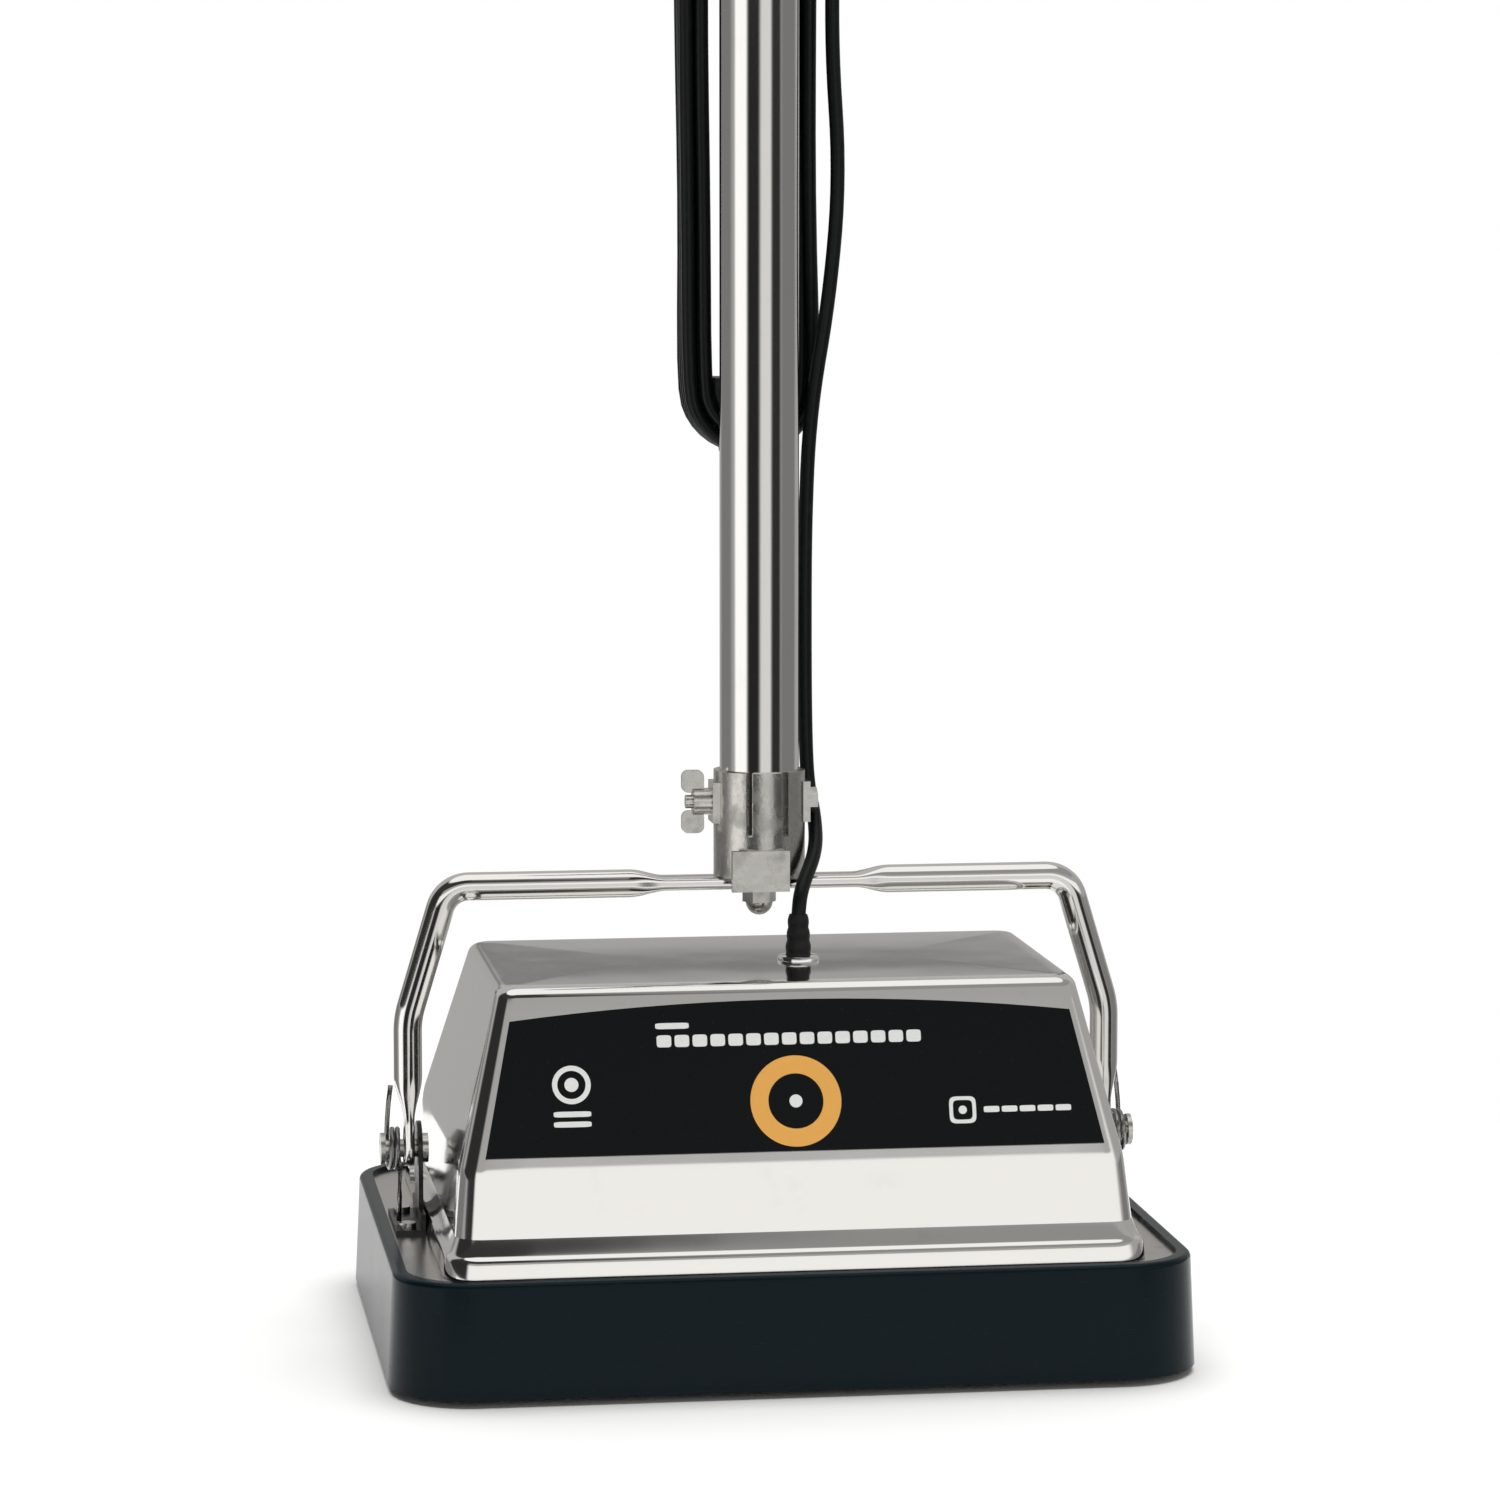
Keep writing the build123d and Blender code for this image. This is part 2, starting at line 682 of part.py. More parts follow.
def hood_screws():
    """Four screws that hold the hood and its trim to the deck's lugs."""
    z = DECK_TOP + 9
    back = HOOD_LEVELS[0][3] + TRIM_OUT
    side = HOOD_LEVELS[0][1] + TRIM_OUT
    heads = [rod_y(3.5, back, back + 1.8, x, z) for x in (-HOOD_SCREW_X, HOOD_SCREW_X)]
    heads += [rod_x(3.5, *sorted((s * side, s * (side + 1.8))), HOOD_SCREW_Y, z) for s in (-1, 1)]
    shanks = hood_screw_rods(SHANK_R, 11)
    return Compound(children=[h + s for h, s in zip(heads, shanks)])


def hood_grommet():
    """The strain relief in the hood's top: a bush with a flange above and below."""
    top = HOOD_LEVELS[-1][0]
    at = (LEAD_X, LEAD_Y)
    body = cylinder(6, top - 5, top + 6, at) + cylinder(9, top, top + 2, at)
    body += cylinder(8, top - 5, top - HOOD_SHEET, at)
    return body - cylinder(CORD_D / 2 + GAP, top - 10, top + 10, at)


# pivots

def bracket_screw_places():
    """Two screws through each bracket's foot."""
    return [(x, y) for x in (-158.5, 158.5) for y in (-18, 18)]


def bracket(side):
    """A pressed L bracket: a foot on the deck and an ear that holds the pivot pin."""
    foot = box((EAR_X[0], 164), (-25, 25), (DECK_TOP, DECK_TOP + BRACKET_FOOT))
    ear = box(EAR_X, (-12, 12), (DECK_TOP, PIVOT_Z)) + rod_x(12, *EAR_X, 0, PIVOT_Z)
    body = foot + ear + box(EAR_X, (-25, 25), (DECK_TOP, DECK_TOP + 9))
    body -= rod_x(PIN_R + GAP, 140, 170, 0, PIVOT_Z)
    for x, y in bracket_screw_places():
        body -= cylinder(CLEAR_HOLE_R, DECK_TOP - 1, DECK_TOP + 5, (x, y))
    return body if side > 0 else mirror(body, Plane.YZ)


def pivot_pin():
    """One headed pin through an ear and the bail's end."""
    body = rod_x(PIN_R, 149, 168, 0, PIVOT_Z) + rod_x(6.5, 148, EAR_X[0], 0, PIVOT_Z)
    return body + rod_x(7, 167, 169, 0, PIVOT_Z)


def tilt_spring():
    """One torsion spring: a coil round the pivot pin, a leg behind the bail, a leg on the foot."""
    coil_path = Helix(SPRING_PITCH, SPRING_PITCH * SPRING_TURNS, SPRING_R)
    coil = sweep(Plane(origin=coil_path @ 0, z_dir=coil_path % 0) * Circle(SPRING_WIRE_R), coil_path)
    coil = Pos(SPRING_X, 0, PIVOT_Z) * Rot(0, -90, 0) * Rot(0, 0, 90) * coil
    inner_x = SPRING_X - SPRING_PITCH * SPRING_TURNS
    body = coil + wire((SPRING_X, SPRING_R, PIVOT_Z), (SPRING_X - 2, SPRING_R + 1, PIVOT_Z + 27))
    low = (inner_x + 1.5, -11, DECK_TOP + BRACKET_FOOT + SPRING_WIRE_R + 0.1)
    return body + wire((inner_x, 0, PIVOT_Z - SPRING_R), low)


def wire(start, end):
    """A straight stretch of spring wire with a round end where it joins the coil."""
    start, end = Vector(*start), Vector(*end)
    body = sweep(Plane(origin=start, z_dir=end - start) * Circle(SPRING_WIRE_R), Line(start, end))
    return body + Pos(*start) * Sphere(1.15 * SPRING_WIRE_R)


# bail and handle

def bail():
    """The bent tube that carries the handle, flattened at its ends and at its middle."""
    path = FilletPolyline(
        (PIVOT_X, 0, PIVOT_Z + 18),
        (PIVOT_X, 0, 142),
        (BAIL_TOP_X, 0, CROSSBAR_Z),
        (BAIL_FLAT_X - 4, 0, CROSSBAR_Z),
        radius=[40, 13],
    )
    tube = sweep(Plane(origin=path @ 0, z_dir=path % 0) * Circle(BAIL_R), path)
    x = (PIVOT_X - TONGUE_HALF, PIVOT_X + TONGUE_HALF)
    tongue = box(x, (-TONGUE_WIDE / 2, TONGUE_WIDE / 2), (PIVOT_Z, PIVOT_Z + 24))
    tongue += rod_x(TONGUE_WIDE / 2, *x, 0, PIVOT_Z)
    arm = tube + tongue - rod_x(PIN_R + RUN, 140, 170, 0, PIVOT_Z)
    half = BAIL_FLAT_Z / 2
    x = (-BAIL_FLAT_X, BAIL_FLAT_X)
    body = arm + mirror(arm, Plane.YZ)
    body -= box(x, (-BAIL_R, BAIL_R), (CROSSBAR_Z + half, CROSSBAR_Z + BAIL_R))
    body -= box(x, (-BAIL_R, BAIL_R), (CROSSBAR_Z - BAIL_R, CROSSBAR_Z - half))
    flat = box(x, (-BAIL_FLAT_Y / 2, BAIL_FLAT_Y / 2), (CROSSBAR_Z - half, CROSSBAR_Z + half))
    return body + flat - cylinder(SOCKET_BOLT_R + GAP, CROSSBAR_Z - BAIL_R, CROSSBAR_Z + BAIL_R)


def socket_floor():
    """The height of the socket's underside, on the bail's flat."""
    return CROSSBAR_Z + BAIL_FLAT_Z / 2


def handle_socket():
    """The cup that the handle tube stands in, slotted so that the clamp bolt can close it."""
    floor = socket_floor()
    body = cylinder(SOCKET_R, floor, SOCKET_TOP)
    for x in (-7, 9):
        body -= box((x - 1.5, x + 1.5), (-30, 0), (222, SOCKET_TOP + 1))
    for turn in (0, 180):
        pad = box((SOCKET_R - 2.5, SOCKET_R + PAD_OUT), (-8, 8), (CLAMP_Z - 9, CLAMP_Z + 9))
        body += Rot(0, 0, turn) * pad
    body += box((-15, 10.5), (-SOCKET_R - 2, -SOCKET_R + 1.5), (floor - 5, floor + 13))
    body -= cylinder(TUBE_R + GAP, floor + SOCKET_FLOOR, SOCKET_TOP + 1)
    body -= rod_x(CLAMP_R + GAP, -40, 40, 0, CLAMP_Z)
    return body - cylinder(SOCKET_BOLT_R + GAP, CROSSBAR_Z, floor + SOCKET_FLOOR + 1)


def socket_bolt():
    """The bolt that holds the socket to the bail, with a domed nut below."""
    floor = socket_floor()
    low = CROSSBAR_Z - BAIL_FLAT_Z / 2
    seat = floor + SOCKET_FLOOR
    body = cylinder(SOCKET_BOLT_R, low, seat) + cylinder(2 * SOCKET_BOLT_R, seat, seat + 3)
    nut = extrude(Pos(0, 0, low - 6) * RegularPolygon(7.5, 6), 6)
    return body + nut + Pos(0, 0, low - 6) * Sphere(6)


def clamp_bolt():
    """The cross bolt through socket and tube, head on the right."""
    seat = SOCKET_R + PAD_OUT
    body = rod_x(CLAMP_R, -33, seat, 0, CLAMP_Z)
    head = Pos(seat, 0, CLAMP_Z) * Rot(0, 90, 0) * extrude(RegularPolygon(5.6, 6), 4)
    return body + head


def wing_nut():
    """The wing nut on the clamp bolt's left end."""
    outer = -(SOCKET_R + PAD_OUT)
    body = rod_x(6, outer - 8, outer, 0, CLAMP_Z)
    for s in (-1, 1):
        wing = box((outer - 13, outer - 3), (-1.4, 1.4), sorted((CLAMP_Z + 4 * s, CLAMP_Z + 14 * s)))
        body += fillet(wing.edges().filter_by(Axis.Y), 3)
    return body - rod_x(CLAMP_R + GAP, -60, 0, 0, CLAMP_Z)


def lower_tube():
    """The lower handle tube, with the holes for the clamp bolt and the hook's screws."""
    body = ring(TUBE_R, TUBE_R - TUBE_WALL, TUBE_BOTTOM, TUBE_JOINT)
    body -= rod_x(CLAMP_R + GAP, -40, 40, 0, CLAMP_Z)
    for z in hook_screw_levels(LOWER_HOOK_Z):
        body -= rod_y(SHANK_R + GAP, 10, 30, 0, z)
    return body


def upper_tube():
    """The upper handle tube, its lower end swaged to fit inside the lower tube."""
    body = ring(TUBE_R, TUBE_R - TUBE_WALL, TUBE_JOINT, TUBE_TOP)
    body += ring(TUBE_R - TUBE_WALL - GAP, TUBE_R - 2.6, TUBE_JOINT - 60, TUBE_JOINT + 2)
    body += ring(TUBE_R - 1, TUBE_R - 2.6, TUBE_JOINT, TUBE_JOINT + 4)
    for z in hook_screw_levels(UPPER_HOOK_Z):
        body -= rod_y(SHANK_R + GAP, 10, 30, 0, z)
    return body


def tube_ferrule():
    """A chromed collar over the tubes' joint."""
    body = ring(TUBE_R + 2, TUBE_R + GAP, TUBE_JOINT - 16, TUBE_JOINT + 16)
    top = body.edges().filter_by(GeomType.CIRCLE).group_by(Axis.Z)
    return fillet(top[0].sort_by(SortBy.RADIUS)[-1:] + top[-1].sort_by(SortBy.RADIUS)[-1:], 1.2)


def hook_screw_levels(z):
    """The heights of a hook base's two screws, both inside the cord's turns."""
    inward = 1 if z == LOWER_HOOK_Z else -1
    return [z + inward * reach for reach in HOOK_SCREWS]


def hook_base(z):
    """A saddle plate against the tube's back, with room for two screws."""
    inward = 1 if z == LOWER_HOOK_Z else -1
    plate = box((-9, 9), (0, TUBE_R + 2.4), sorted((z - 9 * inward, z + 46 * inward)))
    plate -= cylinder(TUBE_R + GAP, z - 60, z + 60)
    plate -= box((-20, 20), (-1, 12), (z - 60, z + 60))
    for level in hook_screw_levels(z):
        plate -= rod_y(CLEAR_HOLE_R, 0, 40, 0, level)
    return plate


def hook_arm(up):
    """A half-round saddle for the cord, with a lip that keeps the turns on it, about its own axis."""
    saddle = rod_y(HOOK_R, HANK_Y[0], LIP_Y[1], 0, 0) & box((-30, 30), (0, 60), sorted((-4 * up, 30 * up)))
    lip = box((-11, 11), LIP_Y, sorted((0, 33 * up)))
    lip = fillet(lip.edges().filter_by(Axis.Y), 5)
    return saddle + lip


def lower_cord_hook():
    """The fixed lower cord hook: base and saddle in one moulding, its lip pointing down."""
    stem = rod_y(8, TUBE_R + 1, HANK_Y[0] + 2, 0, LOWER_HOOK_Z)
    return hook_base(LOWER_HOOK_Z) + stem + Pos(0, 0, LOWER_HOOK_Z) * hook_arm(-1)


def upper_hook_base():
    """The fixed part of the upper cord hook, with the stub that the swivel turns on."""
    return hook_base(UPPER_HOOK_Z) + rod_y(5, TUBE_R + 1, HANK_Y[1], 0, UPPER_HOOK_Z)


def upper_cord_hook():
    """The swivelling upper cord hook, its lip pointing up."""
    body = Pos(0, 0, UPPER_HOOK_Z) * hook_arm(1)
    body += rod_y(9, HANK_Y[0], LIP_Y[1], 0, UPPER_HOOK_Z)
    return body - rod_y(5 + RUN, 0, HANK_Y[1] + 0.3, 0, UPPER_HOOK_Z)


def hook_screws():
    """Four screws that hold the two hook bases to the tubes."""
    screws = []
    for hook in (LOWER_HOOK_Z, UPPER_HOOK_Z):
        for z in hook_screw_levels(hook):
            shank = rod_y(SHANK_R, TUBE_R - 4, TUBE_R + 2.4, 0, z)
            screws.append(shank + rod_y(3.4, TUBE_R + 2.4, TUBE_R + 4, 0, z))
    return Compound(children=screws)


# grip and switch

def grip_block():
    """The whole grip: a sleeve over the tube that sweeps back into a hand grip."""
    path = FilletPolyline(*GRIP_PATH, radius=GRIP_SWEEP_R)
    body = sweep(Plane(origin=path @ 0, z_dir=path % 0) * Circle(GRIP_R), path)
    end = Vector(*GRIP_PATH[-1])
    body += Pos(*end) * Sphere(GRIP_R)
    body &= box((-60, 60), (-60, 200), (GRIP_BOTTOM, TOTAL_HEIGHT))
    pad = box((-13, 13), (SLIDER_Y, 0), (SWITCH_Z[0] - 9, SWITCH_Z[1] + 9))
    body += fillet(pad.edges().filter_by(Axis.Y), 6)
    return body + box(LUG_X, LUG_Y, (GRIP_BOTTOM, GRIP_BOTTOM + LUG_TALL))


def grip_half(side):
    """One moulded half of the grip, with the tube's bore and the slider's slot."""
    body = grip_block()
    body -= cylinder(TUBE_R + GAP, GRIP_BOTTOM - 1, TUBE_TOP + 0.5)
    body -= box((-4.1, 4.1), (SLIDER_Y - 5, -TUBE_R - 1), (SWITCH_Z[0], SWITCH_Z[1]))
    body -= box((-7.6, 7.6), (-TUBE_R - 5.2, -TUBE_R - 1), (SWITCH_Z[0] - 6, SWITCH_Z[1] + 6))
    for x, y in (MAINS_EXIT, LEAD_EXIT):
        body -= cylinder(RELIEF_NECK_R + GAP, GRIP_BOTTOM - 1, GRIP_BOTTOM + 14, (x, y))
    for y, z in GRIP_SCREWS:
        body -= rod_x(SHANK_R + GAP, -10, GRIP_SCREW_SEAT, y, z)
        body -= rod_x(HEAD_R, GRIP_SCREW_SEAT, 60, y, z)
    half = box(sorted((0.0, side * 80)), (-80, 200), (GRIP_BOTTOM - 5, TOTAL_HEIGHT + 5))
    return body & half


def grip_screws():
    """Two screws across the grip."""
    screws = []
    for y, z in GRIP_SCREWS:
        head = rod_x(HEAD_R - 0.3, GRIP_SCREW_SEAT, GRIP_SCREW_SEAT + 2.5, y, z)
        screws.append(head + rod_x(SHANK_R, -8, GRIP_SCREW_SEAT, y, z))
    return Compound(children=screws)


def switch_slider():
    """The thumb slider of the on-off switch, in its low, off place."""
    low = SLIDER_REST_Z - SLIDER_HALF
    high = SLIDER_REST_Z + SLIDER_HALF
    body = box((-4, 4), (SLIDER_Y - 3.5, -TUBE_R - 1.3), (low, high))
    body = fillet(body.edges().filter_by(Axis.X).sort_by(Axis.Y)[:2], 2.5)
    return body + box((-7.4, 7.4), (-TUBE_R - 5, -TUBE_R - 1.3), (low - 1, high + 1))


def relief(at):
    """A tapered rubber strain relief under the grip, its neck inside the grip."""
    hole_r = CORD_D / 2 + GAP
    neck = cylinder(RELIEF_NECK_R, GRIP_BOTTOM, GRIP_BOTTOM + 12, at)
    taper = Pos(at[0], at[1], GRIP_BOTTOM - RELIEF_LONG / 2) * Cone(4.4, 6.2, RELIEF_LONG)
    return neck + taper - cylinder(hole_r, RELIEF_END_Z - 1, GRIP_BOTTOM + 13, at)


# cords

def tube_along(points):
    """A cord's tube: straight runs joined by arcs as large as the runs allow."""
    corners = [Vector(*p) for p in points]
    radii = []
    for a, b, c in zip(corners, corners[1:], corners[2:]):
        turn = math.radians((b - a).get_angle(c - b))
        radii.append(0.45 * min((b - a).length, (c - b).length) / math.tan(turn / 2))
    path = FilletPolyline(*corners, radius=radii)
    body = sweep(Plane(origin=path @ 0, z_dir=path % 0) * Circle(CORD_D / 2), path)
    section = math.pi * (CORD_D / 2) ** 2
    print("cord radii", [round(r) for r in radii], "length", round(path.length))
    print("volume over section x length", round(body.volume / (section * path.length), 4))
    return body


def lead_stub():
    """The motor lead inside the hood's strain relief and just above it."""
    return cylinder(CORD_D / 2, HOOD_LEVELS[-1][0] - 5, STUB_TOP, (LEAD_X, LEAD_Y))


def cord_hank():
    """The outer shape of the mains cord's turns round the two hooks."""
    top = UPPER_HOOK_Z
    bottom = LOWER_HOOK_Z
    height = top - bottom + 2 * (HANK_TURN_R + HANK_WIDE)
    wide = 2 * (HANK_TURN_R + HANK_WIDE)
    middle = (top + bottom) / 2
    outer = RectangleRounded(wide, height, wide / 2 - 0.05)
    inner = RectangleRounded(2 * HANK_TURN_R, height - 2 * HANK_WIDE, HANK_TURN_R - 0.05)
    loop = Plane(origin=(0, HANK_Y[0], middle), x_dir=(1, 0, 0), z_dir=(0, -1, 0)) * (outer - inner)
    return extrude(loop, -(HANK_Y[1] - HANK_Y[0]))


def plug():
    """The moulded mains plug, hanging pins down."""
    body = Pos(PLUG_X, PLUG_Y, PLUG_TOP - 22) * Box(26, 17, 34)
    body = fillet(body.edges(), 4)
    body += Pos(PLUG_X, PLUG_Y, PLUG_TOP - 2) * Cone(7.5, 4.6, 16)
    return body - cylinder(CORD_D / 2 + GAP, PLUG_TOP - 1, PLUG_TOP + 20, (PLUG_X, PLUG_Y))


def plug_pins():
    """The plug's two flat blades and its round earth pin."""
    low, high = PLUG_TOP - 58, PLUG_TOP - 39
    pins = [cylinder(2.4, low - 3, high, (PLUG_X, PLUG_Y + 5))]
    for x in (PLUG_X - 6.3, PLUG_X + 6.3):
        pins.append(box((x - 0.8, x + 0.8), (PLUG_Y - 5, PLUG_Y + 1.3), (low, high)))
    return Compound(children=pins)


def main():
    os.makedirs("parts", exist_ok=True)
    write("bumper", bumper())
    write("base_casting", casting())
    write("gear_cover", gear_cover())
    write("gear_cover_screws", gear_cover_screws())
    write("spindle_bearings", spindle_bearings())
    for name, side in (("left", -1), ("right", 1)):
        write(f"{name}_gear", gear(side))
        write(f"{name}_spindle", spindle(side))
        write(f"{name}_brush_block", brush_block(side))
        write(f"{name}_bristles", bristles(side))
        write(f"{name}_bracket", bracket(side))
        write(f"{name}_grip_half", grip_half(side))
    write("pinion", pinion())
    write("motor_shell", motor_shell())
    write("deck_screws", deck_screws())
    write("stator_core", stator_core())
    write("field_coils", field_coils())
    write("end_bell", end_bell())
    write("brush_holders", brush_holders())
    write("rotor_bearings", rotor_bearings())
    write("rotor_shaft", rotor_shaft())
    write("armature_core", armature_core())
    write("armature_winding", armature_winding())
    write("commutator", commutator())
    write("cooling_fan", cooling_fan())
    write("hood", hood())
    write("front_panel", front_panel())
    write("hood_trim", hood_trim())
    write("hood_screws", hood_screws())
    write("hood_grommet", hood_grommet())
    write("pivot_pins", both_sides(pivot_pin()))
    write("tilt_springs", both_sides(tilt_spring()))
    write("bail", bail())
    write("handle_socket", handle_socket())
    write("socket_bolt", socket_bolt())
    write("clamp_bolt", clamp_bolt())
    write("wing_nut", wing_nut())
    write("lower_tube", lower_tube())
    write("upper_tube", upper_tube())
    write("tube_ferrule", tube_ferrule())
    write("lower_cord_hook", lower_cord_hook())
    write("upper_hook_base", upper_hook_base())
    write("upper_cord_hook", upper_cord_hook())
    write("hook_screws", hook_screws())
    write("grip_screws", grip_screws())
    write("switch_slider", switch_slider())
    write("mains_relief", relief(MAINS_EXIT))
    write("lead_relief", relief(LEAD_EXIT))
    write("lead_stub", lead_stub())
    write("motor_lead", tube_along(LEAD_ROUTE))
    write("mains_cord", tube_along(MAINS_ROUTE))
    write("cord_hank", cord_hank())
    write("mains_tail", tube_along(TAIL_ROUTE))
    write("plug", plug())
    write("plug_pins", plug_pins())


main()
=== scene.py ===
import json
import math
import bpy
import numpy as np
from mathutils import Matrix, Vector

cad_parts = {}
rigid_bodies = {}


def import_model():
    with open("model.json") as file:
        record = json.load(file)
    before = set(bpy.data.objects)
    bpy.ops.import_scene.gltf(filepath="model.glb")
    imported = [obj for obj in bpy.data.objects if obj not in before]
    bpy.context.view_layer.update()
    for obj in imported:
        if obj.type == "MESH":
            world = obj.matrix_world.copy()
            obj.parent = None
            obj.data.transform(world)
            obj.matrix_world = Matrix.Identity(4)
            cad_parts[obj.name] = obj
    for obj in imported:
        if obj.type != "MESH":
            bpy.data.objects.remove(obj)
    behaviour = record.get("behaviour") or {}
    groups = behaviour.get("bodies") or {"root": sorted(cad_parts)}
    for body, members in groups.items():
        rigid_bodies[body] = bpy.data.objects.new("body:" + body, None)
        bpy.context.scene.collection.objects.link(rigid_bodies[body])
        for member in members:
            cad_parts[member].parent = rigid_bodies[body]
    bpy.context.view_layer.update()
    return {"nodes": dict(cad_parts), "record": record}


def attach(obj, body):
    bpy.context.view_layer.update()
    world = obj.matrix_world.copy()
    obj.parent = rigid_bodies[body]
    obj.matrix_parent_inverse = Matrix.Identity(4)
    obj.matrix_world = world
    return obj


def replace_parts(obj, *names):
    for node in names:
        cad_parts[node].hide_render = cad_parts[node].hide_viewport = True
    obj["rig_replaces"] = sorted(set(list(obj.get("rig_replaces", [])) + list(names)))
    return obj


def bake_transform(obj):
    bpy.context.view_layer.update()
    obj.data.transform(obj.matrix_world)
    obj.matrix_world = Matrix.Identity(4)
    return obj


# A twin-brush floor polisher: rubber bumper, bright hood, bail, straight tube handle, wound mains cord.
# Metres throughout, in the frame's own axes: +Z up, -Y the front.

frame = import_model()
rng = np.random.default_rng(7)


# ---- meshes from arrays

def loopFaces(rows, columns):
    # quads between neighbouring rings: (row, column) and its next neighbours, wrapped round
    row, column = np.meshgrid(np.arange(rows - 1), np.arange(columns), indexing="ij")
    a = row * columns + column
    b = row * columns + (column + 1) % columns
    return np.stack([a, b, b + columns, a + columns], axis=-1).reshape(-1, 4).tolist()


def ringSkin(rings, caps=True):
    # rings is rows x columns x 3; the ends are closed with one many-sided face each
    rows, columns = rings.shape[:2]
    faces = loopFaces(rows, columns)
    if caps:
        faces.append(np.arange(columns)[::-1].tolist())
        faces.append(((rows - 1) * columns + np.arange(columns)).tolist())
    return rings.reshape(-1, 3), faces


def closedRings(rings):
    # rows and columns both wrap round, so the last row joins the first
    rows, columns = rings.shape[:2]
    column = np.arange(columns)
    after = (column + 1) % columns
    last = (rows - 1) * columns
    seam = np.stack([last + column, last + after, after, column], axis=-1)
    return rings.reshape(-1, 3), loopFaces(rows, columns) + seam.tolist()


def joinSkins(skins):
    # several (points, faces) made one, with the later faces' numbers moved on
    points, faces, count = [], [], 0
    for part, quads in skins:
        points.append(part)
        faces.extend([[i + count for i in quad] for quad in quads])
        count += len(part)
    return np.concatenate(points), faces


def makePiece(name, points, faces):
    mesh = bpy.data.meshes.new(name)
    mesh.from_pydata(np.asarray(points, float).reshape(-1, 3).tolist(), [], faces)
    mesh.update()
    mesh.polygons.foreach_set("use_smooth", np.full(len(mesh.polygons), True))
    piece = bpy.data.objects.new(name, mesh)
    bpy.context.scene.collection.objects.link(piece)
    return piece


def faceOut(piece):
    # signed volume over a fan of each face; a negative one means the faces look inwards
    mesh = piece.data
    mesh.calc_loop_triangles()
    corners = np.zeros(len(mesh.loop_triangles) * 3, np.int32)
    mesh.loop_triangles.foreach_get("vertices", corners)
    places = np.zeros(len(mesh.vertices) * 3)
    mesh.vertices.foreach_get("co", places)
    a, b, c = places.reshape(-1, 3)[corners.reshape(-1, 3)].transpose(1, 0, 2)
    if np.einsum("ij,ij->i", a, np.cross(b, c)).sum() < 0:
        mesh.flip_normals()
    return piece


def softenEdges(piece, angle):
    # smooth over gentle bends, crisp at corners sharper than the angle
    piece.data.set_sharp_from_angle(angle=math.radians(angle))
    return piece


def unit(vectors):
    return vectors / np.linalg.norm(vectors, axis=-1, keepdims=True)


def smoothStep(low, high, values):
    share = np.clip((values - low) / (high - low), 0, 1)
    return share * share * (3 - 2 * share)


def superellipse(turn, power):
    # 2 gives a circle, more gives squarer corners
    return [np.sign(wave) * np.abs(wave) ** (2 / power) for wave in (np.cos(turn), np.sin(turn))]


def sweep(path, acrossRadius, depthRadius, reference, sides, power=2.0):
    # a superellipse carried along a path: its first axis is the reference with the path's direction taken
    # out, its second is square to both
    path = np.asarray(path, float)
    ahead = unit(np.gradient(path, axis=0))
    across = np.broadcast_to(np.asarray(reference, float), path.shape)
    across = unit(across - (across * ahead).sum(-1, keepdims=True) * ahead)
    depth = np.cross(ahead, across)
    turn = np.linspace(0, 2 * np.pi, sides, endpoint=False)
    c, s = superellipse(turn, np.broadcast_to(power, len(path))[:, None])
    wide = np.broadcast_to(acrossRadius, len(path))[:, None] * c
    deep = np.broadcast_to(depthRadius, len(path))[:, None] * s
    return path[:, None] + wide[..., None] * across[:, None] + deep[..., None] * depth[:, None]


def turnedRing(name, profile, at, sides):
    # a closed outline of (radius, z) turned round an upright axis, so the piece is a ring with a bore
    radius, height = np.array(profile, float).T[..., None]
    angle = np.linspace(0, 2 * np.pi, sides, endpoint=False)
    x = at[0] + radius * np.cos(angle)
    y = at[1] + radius * np.sin(angle)
    rings = np.stack([x, y, np.broadcast_to(height, x.shape)], axis=-1)
    return faceOut(makePiece(name, *closedRings(rings)))


def place(piece, body, material, slotName, *replaced):
    piece.data.materials.clear()
    piece.data.materials.append(material)
    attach(piece, body)
    if replaced:
        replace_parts(piece, *replaced)
    return piece


# ---- shader maths

class Wire:
    # one socket of a material; arithmetic on it adds Math nodes
    def __init__(self, kit, socket):
        self.kit = kit
        self.socket = socket

    def __add__(self, other):
        return self.kit.maths("ADD", self, other)

    def __sub__(self, other):
        return self.kit.maths("SUBTRACT", self, other)

    def __rsub__(self, other):
        return self.kit.maths("SUBTRACT", other, self)

    def __mul__(self, other):
        return self.kit.maths("MULTIPLY", self, other)


